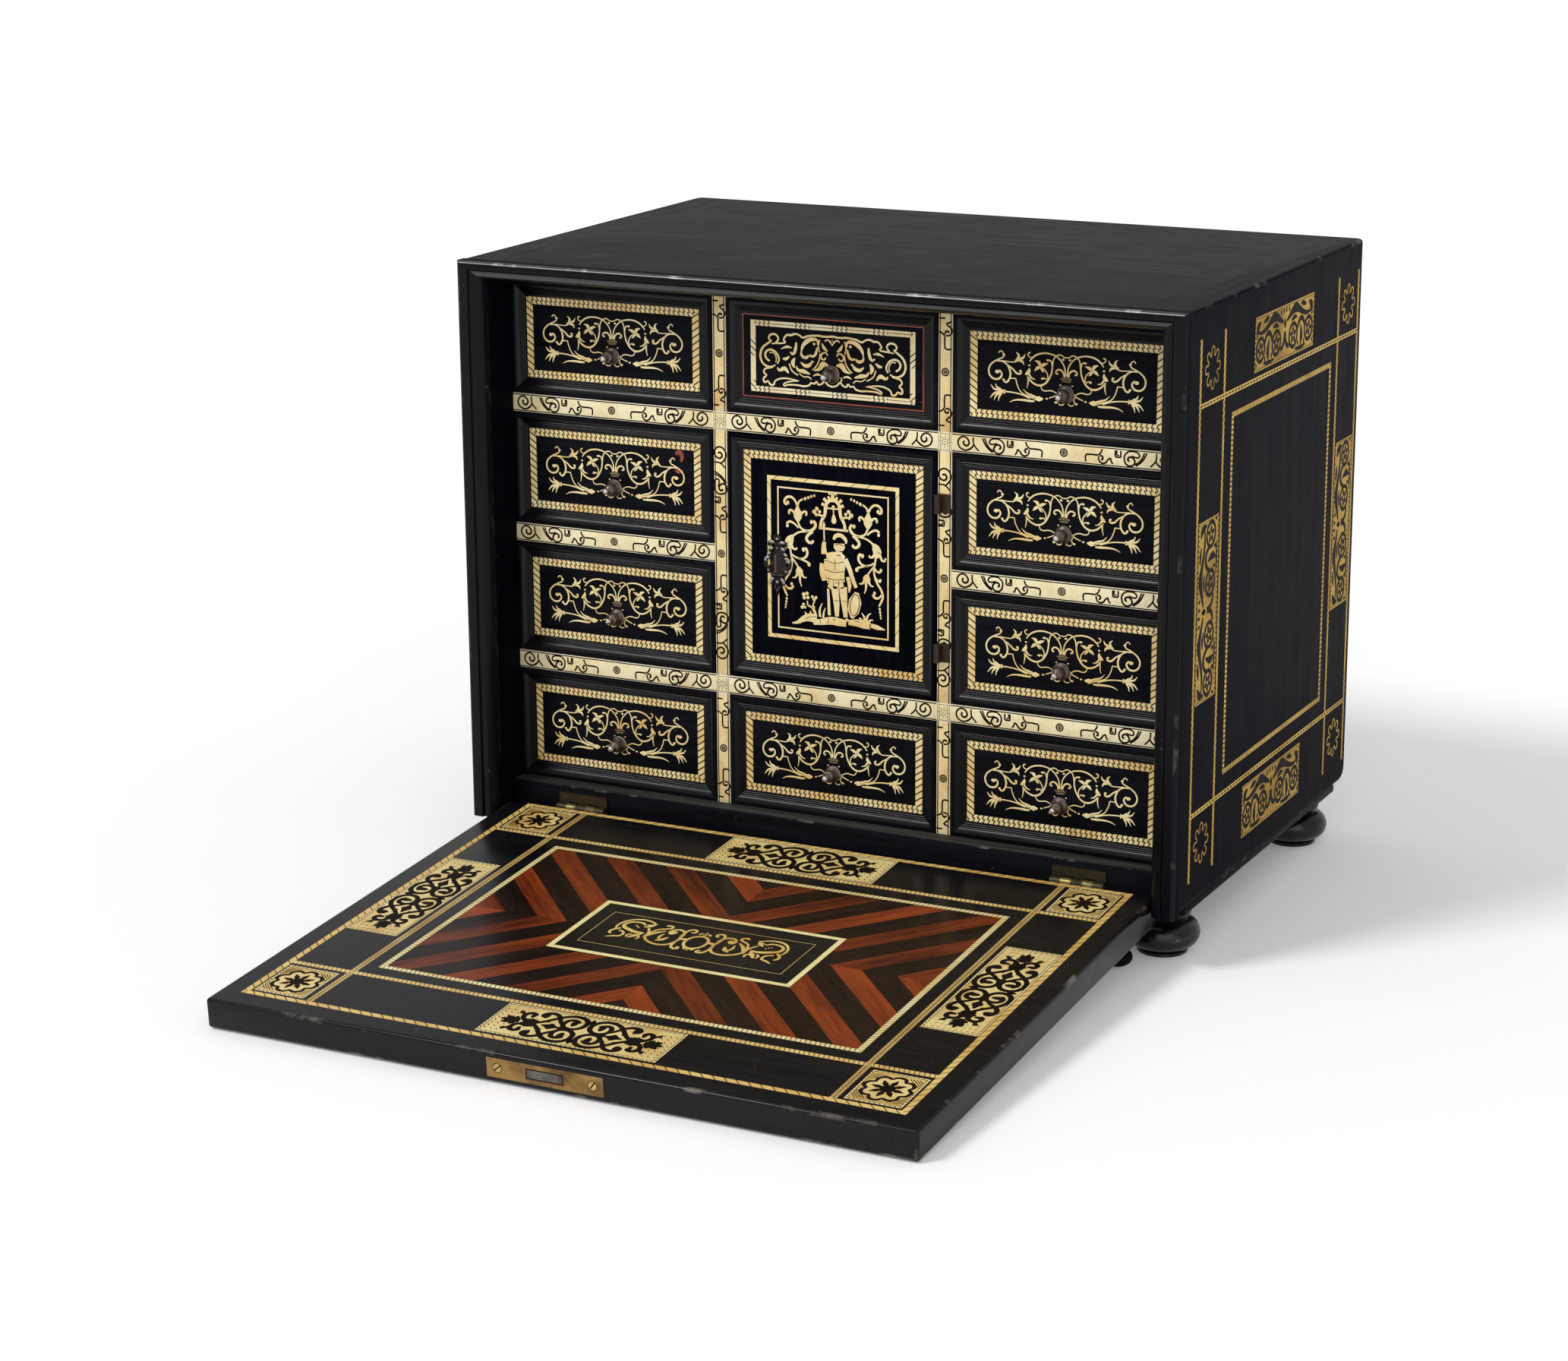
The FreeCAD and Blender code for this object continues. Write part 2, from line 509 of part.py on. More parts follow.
def fall():
    """The drop front with its lock let into the free edge, key plate and rests on its outer face."""
    plate_size = ("dims.lock_width", "dims.lock_plate", "dims.lock_plate_height")
    plate_corner = ("-dims.lock_width / 2", fall_edge, f"{fall_middle} - dims.lock_plate_height / 2")
    case_size = ("dims.lock_case_width", "dims.lock_case_depth", "dims.lock_case_height")
    case_corner = ("-dims.lock_case_width / 2", f"{fall_edge} + dims.lock_plate",
                   f"{fall_middle} - dims.lock_case_height / 2")
    bolt_size = ("dims.bolt_width", "dims.bolt_length", "dims.bolt_height")
    bolt_corner = ("-dims.bolt_width / 2", fall_edge, f"{fall_middle} - dims.bolt_height / 2")
    way_size = ("dims.bolt_width + 2 * dims.lock_fit", "dims.bolt_length + dims.lock_fit",
                "dims.bolt_height + 2 * dims.lock_fit")
    way_corner = (f"{bolt_corner[0]} - dims.lock_fit", fall_edge, f"{bolt_corner[2]} - dims.lock_fit")
    key_at = ("0", f"{fall_edge} + dims.key_place", fall_under)
    key_depth = f"{fall_middle} - {fall_under}"
    screw_at = [(f"{hand} * dims.lock_screw_place", fall_edge, fall_middle) for hand in (-1, 1)]

    recesses = [box("plate_recess", plate_size, plate_corner), box("case_recess", case_size, case_corner)]
    recesses.append(rod("key_way", "dims.key_hole", key_depth, key_at, UP_Z))
    heads = []
    screws = []
    for at in screw_at:
        shank_way = "dims.screw_shank + dims.screw_fit"
        recesses.append(rod("shank_way", shank_way, "dims.screw_length + dims.screw_fit", at, UP_Y))
        heads.append(rod("head_way", "dims.screw_head + dims.screw_fit", "dims.lock_plate", at, UP_Y))
        head = rod("screw_head", "dims.screw_head", "dims.lock_plate", at, UP_Y)
        shank = rod("screw_shank", "dims.screw_shank", "dims.screw_length", at, UP_Y)
        screws.append(fuse("lock_screw", [head, shank]))

    board = box("fall_board", (f"2 * {fall_half}", fall_length, "dims.fall_thick"),
                (f"-{fall_half}", fall_edge, fall_under))
    on_fall("fall_panel", [cut("fall_panel_cut", board, fuse("fall_recesses", recesses))])
    plate = box("lock_plate_blank", plate_size, plate_corner)
    plate_holes = fuse("plate_holes", [box("plate_slot", way_size, way_corner)] + heads)
    on_fall("fall_lock_plate", [cut("lock_plate_cut", plate, plate_holes)])
    case = box("lock_case_blank", case_size, case_corner)
    case_holes = fuse("case_holes", [box("bolt_way", way_size, way_corner),
                                     rod("key_entry", "dims.key_hole", key_depth, key_at, UP_Z)])
    on_fall("fall_lock_case", [cut("lock_case_cut", case, case_holes)])
    on_fall("fall_lock_bolt", [box("lock_bolt", bolt_size, bolt_corner)])
    on_fall("fall_lock_screws", screws)
    key_plate_at = (key_at[0], key_at[1], f"{fall_under} - dims.key_plate")
    key_plate = rod("key_plate_disc", "dims.key_plate_radius", "dims.key_plate", key_plate_at, UP_Z)
    key_plate_hole = rod("key_plate_hole", "dims.key_hole", "dims.key_plate", key_plate_at, UP_Z)
    on_fall("fall_key_plate", [cut("key_plate_cut", key_plate, key_plate_hole)])
    on_fall("fall_rests", [fall_rest(-1), fall_rest(1)])


# Places of the cupboard door and its lock.
door_width = f"({mid_column} - 2 * dims.door_gap)"
door_bottom = f"({sill_top} + {row_pitch} + dims.door_gap)"
door_height = f"(2 * {row_height} + dims.rail - 2 * dims.door_gap)"
door_left = f"({mid_left} + dims.door_gap)"
door_back = f"({bed} + dims.front_board)"
door_middle = f"({door_bottom} + {door_height} / 2)"
door_lock_z = f"({door_middle} - dims.door_lock_drop)"
door_lock_x = f"({door_left} + dims.door_lock_inset)"
door_bolt_y = f"({door_back} + dims.door_lock_depth / 2 - dims.door_bolt_depth / 2)"
door_pin_x = f"({mid_column} / 2 + dims.door_pin_out)"
door_pin_y = f"({facing_front} - dims.door_pin_front)"
scutcheon_x = f"({door_left} + dims.scutcheon_inset)"


def cupboard_door():
    """The door: panelled front with a key slot, lock and bolt behind it, key plate on its face."""
    slot_size = ("dims.keyhole_width", f"{door_back} - {face} + dims.door_lock_depth / 2",
                 "dims.keyhole_height")
    slot_x = f"{scutcheon_x} - dims.keyhole_width / 2"
    slot_z = f"{door_lock_z} - dims.keyhole_height / 2"
    board, field, reeds = panelled_front("door", door_width, door_height, door_left, door_bottom,
                                         "dims.door_reed_side", "dims.door_reed_end")
    slotted = []
    for piece in (board, field):
        slotted.append(cut("door_slotted", piece, box("key_slot", slot_size, (slot_x, face, slot_z))))
    node("door_panel", group("door_panel", slotted + reeds))

    case_size = ("dims.door_lock_width", "dims.door_lock_depth", "dims.door_lock_height")
    case_corner = (door_lock_x, door_back, f"{door_lock_z} - dims.door_lock_height / 2")
    bolt_size = ("dims.door_bolt_length", "dims.door_bolt_depth", "dims.door_bolt_height")
    bolt_corner = (door_lock_x, door_bolt_y, f"{door_lock_z} - dims.door_bolt_height / 2")
    way_size = ("dims.door_bolt_length + dims.lock_fit", "dims.door_bolt_depth + 2 * dims.lock_fit",
                "dims.door_bolt_height + 2 * dims.lock_fit")
    way_corner = (door_lock_x, f"{door_bolt_y} - dims.lock_fit", f"{bolt_corner[2]} - dims.lock_fit")
    ways = fuse("door_lock_ways", [box("door_bolt_way", way_size, way_corner),
                                   box("door_key_way", slot_size, (slot_x, face, slot_z))])
    node("door_lock_case", cut("door_lock_cut", box("door_lock_blank", case_size, case_corner), ways))
    node("door_lock_bolt", box("door_lock_bolt", bolt_size, bolt_corner))

    middle = rod("key_plate_middle", "dims.scutcheon_radius", "dims.scutcheon_plate",
                 (scutcheon_x, face, door_lock_z), UP_FRONT)
    lobes = []
    for way in (-1, 1):
        lobe_at = (scutcheon_x, face, f"{door_lock_z} + {way} * dims.scutcheon_reach")
        lobes.append(rod("key_plate_lobe", "dims.scutcheon_lobe", "dims.scutcheon_plate", lobe_at, UP_FRONT))
    plate_slot = box("key_plate_slot", ("dims.keyhole_width", "dims.scutcheon_plate", "dims.keyhole_height"),
                     (slot_x, f"{face} - dims.scutcheon_plate", slot_z))
    blank = fuse("door_key_plate_blank", [middle] + lobes)
    node("door_key_plate", cut("door_key_plate_cut", blank, plate_slot))


def door_hinges():
    """Two small hinges: a plate on the bone facing, a leaf on the edge of the door, and a pin."""
    plates = []
    leaves = []
    pins = []
    pitch = f"(dims.door_hinge_height / {DOOR_KNUCKLES})"
    knuckle = f"({pitch} - dims.knuckle_gap)"
    plate_x = f"({door_pin_x} - dims.door_pin / 2)"
    plate_y = f"({facing_front} - dims.door_leaf)"
    edge_x = f"({door_left} + {door_width})"
    edge_y = f"({door_pin_y} + dims.door_barrel / 3)"
    for hand in (-1, 1):
        z = f"({door_middle} + {hand} * dims.door_hinge_place - dims.door_hinge_height / 2)"
        levels = [f"{z} + {number} * {pitch} + dims.knuckle_gap / 2" for number in range(DOOR_KNUCKLES)]
        pin_start = (door_pin_x, door_pin_y, z)
        bore_size = ("dims.door_pin + dims.pin_clearance", "dims.door_hinge_height", pin_start)
        plate_size = ("dims.door_leaf_width", "dims.door_leaf", "dims.door_hinge_height")
        fixed = [box("door_plate", plate_size, (plate_x, plate_y, z))]
        web_size = ("dims.door_pin", f"{plate_y} - {door_pin_y}", knuckle)
        for level in (levels[0], levels[-1]):
            fixed.append(box("plate_web", web_size, (plate_x, door_pin_y, level)))
            at = (door_pin_x, door_pin_y, level)
            fixed.append(rod("plate_knuckle", "dims.door_barrel", knuckle, at, UP_Z))
        plates.append(cut("plate_half", fuse("plate_blank", fixed), rod("plate_bore", *bore_size, UP_Z)))

        level = levels[1]
        leaf_size = ("dims.door_edge_leaf", "dims.door_edge_leaf_depth", knuckle)
        arm_size = (f"{door_pin_x} - dims.door_barrel / 2 - {edge_x}", f"{plate_y} - {edge_y}", knuckle)
        moving = [
            box("door_leaf", leaf_size, (edge_x, plate_y, level)),
            box("door_leaf_arm", arm_size, (edge_x, edge_y, level)),
            rod("leaf_knuckle", "dims.door_barrel", knuckle, (door_pin_x, door_pin_y, level), UP_Z),
        ]
        leaves.append(cut("leaf_half", fuse("leaf_blank", moving), rod("leaf_bore", *bore_size, UP_Z)))
        pins.append(rod("door_hinge_pin", "dims.door_pin", "dims.door_hinge_height", pin_start, UP_Z))
    node("door_hinge_plates", group("door_hinge_plates", plates))
    node("door_hinge_leaves", group("door_hinge_leaves", leaves))
    node("door_hinge_pins", group("door_hinge_pins", pins))


case_boards()
opening_moulding()
bun_feet()
dividers_and_rails()
for column, column_x, column_width, rows in (
    ("left", left_column, "dims.side_column", (3, 2, 1, 0)),
    ("middle", mid_left, mid_column, (3, 0)),
    ("right", right_column, "dims.side_column", (3, 2, 1, 0)),
):
    for row in rows:
        drawer(f"{column}_drawer_{ROWS - row}", column_x, column_width, row)
fall()
fall_hinges()
cupboard_door()
door_hinges()

doc.recompute()
for item in doc.Objects:
    if "Invalid" in item.State or "Error" in item.State:
        raise RuntimeError(f"{item.Label} failed to build")
for item in nodes:
    if item.Shape.isNull() or not item.Shape.isValid():
        raise RuntimeError(f"{item.Label} has no valid shape")
os.makedirs("parts", exist_ok=True)
for item in nodes:
    item.Shape.exportStep(f"parts/{item.Label}.step")
    print(item.Label, len(item.Shape.Solids), "solids", round(item.Shape.Volume), "mm3")
print(len(nodes), "nodes; fall let down", round(value(f"{fall_tilt} / 1 deg"), 3), "degrees below level")
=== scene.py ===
# %% [markdown]
# # A fall-front table cabinet, dressed over its working model
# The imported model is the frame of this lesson: every board, drawer, hinge and lock is already
# there at its real size and already moves. Here it gets its looks: rounded and worn edges, reeded
# mouldings, inlaid bone, veneers, metal, and a plain studio to stand in. Everything is in metres,
# X to the right along the front, Y to the back, Z up.

# %% Load the frame
import json
import math
import random

import bmesh
import bpy
from bmesh.types import BMEdge, BMFace, BMVert
from mathutils import Matrix, Vector


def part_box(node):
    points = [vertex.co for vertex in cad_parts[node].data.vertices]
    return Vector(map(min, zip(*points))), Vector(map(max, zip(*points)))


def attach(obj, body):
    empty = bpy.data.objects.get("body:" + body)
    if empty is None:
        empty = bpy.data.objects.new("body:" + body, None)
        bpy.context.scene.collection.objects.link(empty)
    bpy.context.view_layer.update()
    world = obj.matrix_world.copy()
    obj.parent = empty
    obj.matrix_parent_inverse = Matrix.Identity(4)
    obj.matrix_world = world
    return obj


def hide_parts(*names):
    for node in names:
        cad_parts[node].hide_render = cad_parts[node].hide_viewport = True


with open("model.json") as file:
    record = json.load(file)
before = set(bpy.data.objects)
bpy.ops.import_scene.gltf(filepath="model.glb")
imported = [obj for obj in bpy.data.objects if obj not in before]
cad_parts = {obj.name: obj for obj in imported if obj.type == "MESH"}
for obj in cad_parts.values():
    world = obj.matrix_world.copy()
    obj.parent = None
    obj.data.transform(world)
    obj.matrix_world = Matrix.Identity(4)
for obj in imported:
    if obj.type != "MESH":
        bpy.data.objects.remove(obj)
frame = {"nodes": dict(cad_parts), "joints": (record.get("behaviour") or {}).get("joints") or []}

MM = 0.001
TINY, SAW = 1e-6, 1e-7
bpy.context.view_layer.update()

# %% [markdown]
# ## Writing a finish as sums
# A finish is a small tree of shader nodes. Wiring each Math node by hand hides what the sum says,
# so one small class wraps a socket and overloads the usual signs: `1 - groove` adds a Subtract
# node. Anything that isn't a sum comes from the one method `node`, which sets a node's settings
# first and its sockets after.

# %% Wire and Finish
class Wire:
    def __init__(self, finish, socket):
        self.finish, self.socket = finish, socket

    def maths(self, operation, *others):
        return self.finish.node("ShaderNodeMath", {"operation": operation}, dict(enumerate((self, *others))))

    def __add__(self, other): return self.maths("ADD", other)
    def __sub__(self, other): return self.maths("SUBTRACT", other)
    def __mul__(self, other): return self.maths("MULTIPLY", other)
    def __truediv__(self, other): return self.maths("DIVIDE", other)
    def __lt__(self, other): return self.maths("LESS_THAN", other)
    def __gt__(self, other): return self.maths("GREATER_THAN", other)
    __radd__, __rmul__ = __add__, __mul__

    def __rsub__(self, other):
        return self.finish.node("ShaderNodeMath", {"operation": "SUBTRACT"}, {0: other, 1: self})

    def __abs__(self): return self.maths("ABSOLUTE")
    def fraction(self): return self.maths("FRACT")
    def either(self, other): return self.maths("MAXIMUM", other)
    def clipped(self): return self.maths("MINIMUM", 1).maths("MAXIMUM", 0)
    def beside(self, output): return Wire(self.finish, self.socket.node.outputs[output])


class Finish:
    def __init__(self, name):
        self.material = bpy.data.materials.new(name)
        self.material.use_nodes = True
        self.tree = self.material.node_tree
        self.tree.nodes.clear()

    def node(self, kind, settings=None, values=None, out=0):
        made = self.tree.nodes.new(kind)
        for key, value in (settings or {}).items():
            setattr(made, key, value)
        for key, value in (values or {}).items():
            if isinstance(value, Wire):
                self.tree.links.new(value.socket, made.inputs[key])
            else:
                made.inputs[key].default_value = value
        return None if out is None else Wire(self, made.outputs[out])

    def place(self, stretch=(1, 1, 1)):
        spot = self.node("ShaderNodeTexCoord", out="Object")
        return self.node("ShaderNodeMapping", None, {"Vector": spot, "Scale": stretch})

    def sheet(self):
        split = self.node("ShaderNodeSeparateXYZ", None, {0: self.node("ShaderNodeTexCoord", out="UV")})
        return split, split.beside(1)

    def mark(self, name):
        return self.node("ShaderNodeAttribute", {"attribute_name": name}, out="Fac")

    def cloud(self, vector, scale, detail=4, roughness=0.55):
        return self.node("ShaderNodeTexNoise", None,
                         {"Vector": vector, "Scale": scale, "Detail": detail, "Roughness": roughness})

    def ramp(self, value, low, high):
        return self.node("ShaderNodeMapRange", {"clamp": True},
                         {"Value": value, "From Min": low, "From Max": high})

    def mix(self, share, first, second):
        return self.node("ShaderNodeMix", {"data_type": "RGBA"}, {0: share, 6: first, 7: second}, out=2)

    def surface(self, bump=None, bump_depth=0.0002, bump_strength=0.4, **sockets):
        values = {key.replace("_", " "): value for key, value in sockets.items()}
        if bump is not None:
            values["Normal"] = self.node("ShaderNodeBump", None, {
                "Height": bump, "Strength": bump_strength, "Distance": bump_depth})
        return self.shown(self.node("ShaderNodeBsdfPrincipled", None, values))

    def shown(self, shader):
        self.node("ShaderNodeOutputMaterial", None, {"Surface": shader}, out=None)
        return self.material


def tone(red, green, blue):
    """A colour as read off a picture, 0 to 255, made linear."""
    shares = [c / 255 for c in (red, green, blue)]
    return (*[c / 12.92 if c <= 10 / 255 else ((c + 0.055) / 1.055) ** 2.4 for c in shares], 1)


print("finish kit ready")

# %% [markdown]
# ## Ebonised wood
# The case is close-grained wood stained black and polished: almost neutral, a touch blue, with a
# faint sheen, and rubbed back to grey-brown where an edge is handled. The grain is noise stretched
# along the board. `worn` is a mark that the edge roundings carry, so the rubbing comes only there and
# only in patches. Reeds and mouldings are waxed and shine more than the flats. The bar over the opening
# and the arris above it shine most, and along that arris the rub is near white, which is painted
# highlight as well as wear. The upright boards, mostly the sides, take a darker and bluer copy of the
# black, which is painted shade, and the top of the sill takes a paler grey, which is painted sheen.

# %% Ebonised wood
def ebonised(name, stretch, dark=(9, 10, 13), light=(21, 22, 28), rough=0.36, rub_and_highlight=(120, 114, 106),
             sheen=0.04):
    f = Finish(name)
    grain = f.cloud(f.place(stretch), 1, 6, 0.62)
    patches = f.cloud(f.place(), 38, 5, 0.6)
    streaks = f.ramp(grain, 0.34, 0.72)
    rubbed = (f.mark("worn") * f.ramp(patches, 0.56, 0.68)).clipped()
    nicks = f.ramp(f.cloud(f.place(), 260, 2, 0.5), 0.70, 0.76) * f.ramp(patches, 0.5, 0.7) * 0.35
    colour = f.mix(streaks, tone(*dark), tone(*light))
    # where the rub colour is near white, as on the top arris, these patches are painted highlight as well as
    # wear
    colour = f.mix((rubbed * 0.55 + nicks).clipped(), colour, tone(*rub_and_highlight))
    return f.surface(Base_Color=colour, Roughness=rough + streaks * 0.1 + patches * 0.12,
                     Specular_IOR_Level=sheen, bump=grain, bump_depth=0.00012, bump_strength=0.3)


GREY_RUB = (150, 146, 138)
wood_along = ebonised("ebonised_wood_along_x", (9, 210, 210))
wood_back = ebonised("ebonised_wood_along_y", (210, 9, 210))
# darker and bluer than the other boards: painted shade for the sides, which stand out of the light
wood_up_painted_shade = ebonised("ebonised_wood_along_z_painted_shade", (210, 210, 9), (5, 6, 11), (13, 14, 24), sheen=0.01)
wood_inside = ebonised("ebonised_wood_inside", (40, 9, 120), (9, 8, 9), (22, 20, 19), 0.5)
reeded_wood = ebonised("reeded_wood", (60, 60, 60), (5, 5, 7), (12, 12, 15), 0.2, (104, 94, 84), 0.24)
moulding_wood = ebonised("moulding_wood", (120, 120, 9), (6, 7, 10), (14, 15, 19), 0.13, GREY_RUB, 0.13)
# the rubbed edge's near-white rub is painted highlight on the top arris as well as wear
rubbed_edge_painted_highlight = ebonised("rubbed_edge_painted_highlight", (60, 60, 60), (14, 14, 16), (38, 37, 37), 0.2, (226, 223, 218), 1.0)
bar_wood = ebonised("top_bar_round", (9, 120, 120), (8, 8, 10), (18, 18, 21), 0.2, GREY_RUB, 0.9)
# a paler grey for the sill's top face: painted sheen
sill_top_sheen_painted = ebonised("sill_top_painted_sheen", (9, 210, 210), (38, 38, 36), (74, 74, 70), 0.45, GREY_RUB, 0.1)
foot_wood = ebonised("turned_foot_wood", (60, 60, 60), (6, 6, 8), (15, 15, 18), 0.14, (110, 106, 100), 0.4)
print("ebonised wood ready")

# %% [markdown]
# ## Bone
# Every line, scroll and strip on the front is bone let into the black: cream, ambered in patches by
# polish and dirt, with fine dark pores, and paler on worn edges. It is bright on the drawers, warmer
# on the flat strips and the fall, and dull gold on the sides.

# %% Bone
def bone(name, pale, amber, warmth=0.5, rough=0.36, sheen=0.5):
    f = Finish(name)
    patches = f.cloud(f.place(), 26, 4, 0.6)
    fine = f.cloud(f.place(), 420, 3, 0.6)
    pores = f.ramp(f.cloud(f.place((160, 160, 160)), 9, 2, 0.5), 0.66, 0.74)
    colour = f.mix(f.ramp(patches, 0.62 - warmth * 0.4, 0.92 - warmth * 0.4), tone(*pale), tone(*amber))
    colour = f.mix(f.ramp(fine, 0.52, 0.8) * 0.35, colour, tone(*[c * 0.72 for c in amber]))
    colour = f.mix(pores * 0.4, colour, tone(92, 66, 34))
    colour = f.mix(f.mark("worn") * 0.8, colour, tone(254, 248, 230))
    return f.surface(Base_Color=colour, Roughness=rough + fine * 0.14, Specular_IOR_Level=sheen,
                     bump=fine, bump_depth=0.00008, bump_strength=0.25)


bone_scroll = bone("bone_scrolls", (245, 228, 174), (224, 180, 96), 0.5)
bone_strip = bone("bone_rails", (248, 237, 194), (226, 199, 136), 0.42)
bone_upright = bone("bone_uprights", (246, 226, 170), (214, 172, 104), 0.5)
bone_panel = bone("bone_panels", (240, 217, 148), (204, 160, 82), 0.5)
bone_corner = bone("bone_corner_squares", (230, 196, 118), (190, 142, 66), 0.5)
bone_gold = bone("bone_middle_frame", (250, 238, 174), (234, 206, 126), 0.4)
bone_amber = bone("bone_middle_scroll", (240, 210, 126), (208, 156, 70), 0.5)
bone_dull = bone("bone_side_panels", (200, 164, 78), (142, 104, 40), 0.5, 0.45, 0.08)
print("bone ready")

# %% [markdown]
# ## Finishes that follow a strip
# The borders of the drawers are bone engraved with a running key of slanted strokes, and the lines
# on the sides and the fall are a twisted rope of bone and dark wood. Both patterns run along a strip
# and turn its corners, so they read the strip's own UV map: u is metres along, v goes from 0 to 1
# across, and a v above 2 asks for the plain slanted hatch of the short sides.

# %% Engraved borders and ropes
def engraved_border(name, pale, amber, period=3.5 * MM, groups=0):
    f = Finish(name)
    along, across = f.sheet()
    hatch = across > 1.5
    v = across - hatch * 2
    step = along / period
    upper = abs((step - v * 0.7).fraction() - 0.5) < 0.14
    lower = abs((step - v * 0.7 + 0.5).fraction() - 0.5) < 0.14
    middle = (abs(v - 0.5) < 0.08) * ((step + 0.175).fraction() < 0.55)
    key = (upper * (v > 0.5)).either(lower * (v < 0.5)).either(middle)
    slant = abs((step * 0.8 + v * 0.75).fraction() - 0.5) < 0.13
    lines = key * (1 - hatch) + slant * hatch
    if groups:
        plain = (along / groups).fraction() > 0.42
        lines = lines * (1 - plain) + (abs(v - 0.5) < 0.06) * plain * (1 - hatch)
    edges = abs(v - 0.5) > 0.45
    patches = f.cloud(f.place(), 40, 4, 0.6)
    fine = f.cloud(f.place(), 420, 3, 0.6)
    colour = f.mix(f.ramp(patches, 0.35, 0.75), tone(*pale), tone(*amber))
    colour = f.mix((lines * 0.94 + edges * 0.5).clipped(), colour, tone(28, 19, 12))
    return f.surface(Base_Color=colour, Roughness=0.36 + fine * 0.12,
                     bump=1 - lines, bump_depth=0.00015, bump_strength=0.3)


def rope(name, pale, amber, dark=(44, 28, 14), period=2.9 * MM, share=0.2, slope=1.0, sheen=0.5):
    f = Finish(name)
    along, across = f.sheet()
    fine = f.cloud(f.place(), 500, 3, 0.6)
    twist = abs((along / period + across * slope + fine * 0.1).fraction() - 0.5) < share
    rims = abs(across - 0.5) > 0.44
    return strip_surface(f, (twist * 0.9 + rims * 0.4).clipped(), fine, pale, amber, dark, sheen)


def chain(name, pale, amber, dark=(24, 17, 11), period=5.4 * MM, sheen=0.5):
    f = Finish(name)
    along, across = f.sheet()
    fine = f.cloud(f.place(), 500, 3, 0.6)
    lozenge = abs(across - 0.5) < abs((along / period).fraction() - 0.5) * 0.62
    return strip_surface(f, lozenge * 0.95, fine, pale, amber, dark, sheen)


def strip_surface(f, lines, fine, pale, amber, dark, sheen):
    patches = f.cloud(f.place(), 30, 4, 0.6)
    colour = f.mix(f.ramp(patches, 0.35, 0.7), tone(*pale), tone(*amber))
    return f.surface(Base_Color=f.mix(lines, colour, tone(*dark)), Roughness=0.38 + fine * 0.12,
                     Specular_IOR_Level=sheen, bump=1 - lines, bump_depth=0.0001, bump_strength=0.3)


border_finish = engraved_border("bone_key_border", (247, 228, 168), (224, 180, 98))
border_grouped = engraved_border("bone_grouped_border", (247, 236, 198), (228, 196, 130), 3.2 * MM, 27 * MM)
rope_finish = rope("rope_stringing", (240, 206, 126), (212, 164, 84), (44, 28, 14), 7.5 * MM, 0.07, 0.55)
rope_ticks = rope("rope_level_lines", (240, 212, 138), (214, 170, 92), (52, 34, 18), 3.1 * MM, 0.1, 0.4)
rope_twist = rope("rope_upright_strands", (238, 206, 130), (206, 158, 82), (40, 26, 14), 3.4 * MM, 0.18, 0.9)
rope_pale = rope("rope_field_border", (250, 238, 180), (232, 202, 126), (64, 44, 22), 3.1 * MM, 0.11, 0.3)
rope_door = rope("streaked_door_band", (248, 232, 172), (230, 194, 114), (92, 62, 30), 11 * MM, 0.035, 0.3)
rope_side = rope("rope_side_stringing", (236, 192, 84), (196, 146, 52), (24, 17, 11), 4.4 * MM, 0.18, 0.9,
                 0.08)
rope_notched = rope("notched_side_border", (234, 192, 92), (192, 146, 56), (26, 18, 11), 3.2 * MM, 0.18, 0.1,
                    0.08)
rope_chain = chain("chain_side_lines", (236, 200, 104), (200, 154, 64), sheen=0.08)
print("strip finishes ready")

# %% [markdown]
# ## Veneers, red line, ink
# The field of the fall is chevron veneer in two woods, red-brown and almost black, with its grain
# along the stripes. Engraved lines on bone are filled with black mastic.

# %% Veneers, red line, ink
def veneer(name, dark, light):
    f = Finish(name)
    along, across = f.sheet()
    run = f.node("ShaderNodeCombineXYZ", None, {0: along * 30, 1: across * 420, 2: f.mark("strip") * 7})
    grain = f.cloud(run, 1, 5, 0.6)
    broad = f.node("ShaderNodeCombineXYZ", None, {0: along * 11, 1: across * 70, 2: f.mark("strip") * 11})
    figure = f.cloud(broad, 1, 3, 0.55)
    pores = f.ramp(f.cloud(run, 3.5, 3, 0.5), 0.6, 0.75)
    shade = grain * 0.55 + figure * 0.75 + f.mark("strip") * 0.26
    colour = f.mix(f.ramp(shade, 0.5, 1.02), tone(*dark), tone(*light))
    colour = f.mix(pores * 0.2, colour, tone(24, 12, 9))
    return f.surface(Base_Color=colour, Roughness=0.2 + grain * 0.14, Specular_IOR_Level=0.12,
                     bump=grain, bump_depth=0.0001, bump_strength=0.25)


def plain_line(name, first, second, rough, sheen=0.5):
    f = Finish(name)
    patches = f.cloud(f.place(), 70, 4, 0.6)
    return f.surface(Base_Color=f.mix(f.ramp(patches, 0.35, 0.7), tone(*first), tone(*second)),
                     Roughness=rough + patches * 0.15, Specular_IOR_Level=sheen)


red_veneer = veneer("red_veneer", (50, 18, 9), (152, 66, 27))
dark_veneer = veneer("dark_veneer", (11, 8, 7), (42, 25, 17))
red_line = plain_line("red_line", (150, 62, 34), (104, 40, 24), 0.35)
ink = plain_line("black_mastic", (16, 12, 10), (34, 25, 18), 0.5, 0.06)
# the key slot: a dark plate that is painted shade, and a reddish strip that is a painted lit wall
keyhole_painted_shade = plain_line("keyhole_inside_painted_shade", (20, 9, 7), (8, 5, 5), 0.7)
keyhole_painted_lit_wall = plain_line("keyhole_painted_lit_wall", (122, 66, 50), (74, 34, 25), 0.5)
print("veneers, red line and mastic ready")

# %% [markdown]
# ## Metals and drawer wood
# The knobs and the cupboard's key plate are dark cast bronze, bright where fingers polish them; the
# lock plate and the fall's hinges are tarnished brass; the cupboard hinges are rusty iron. Inside,
# the drawers are plain oak.

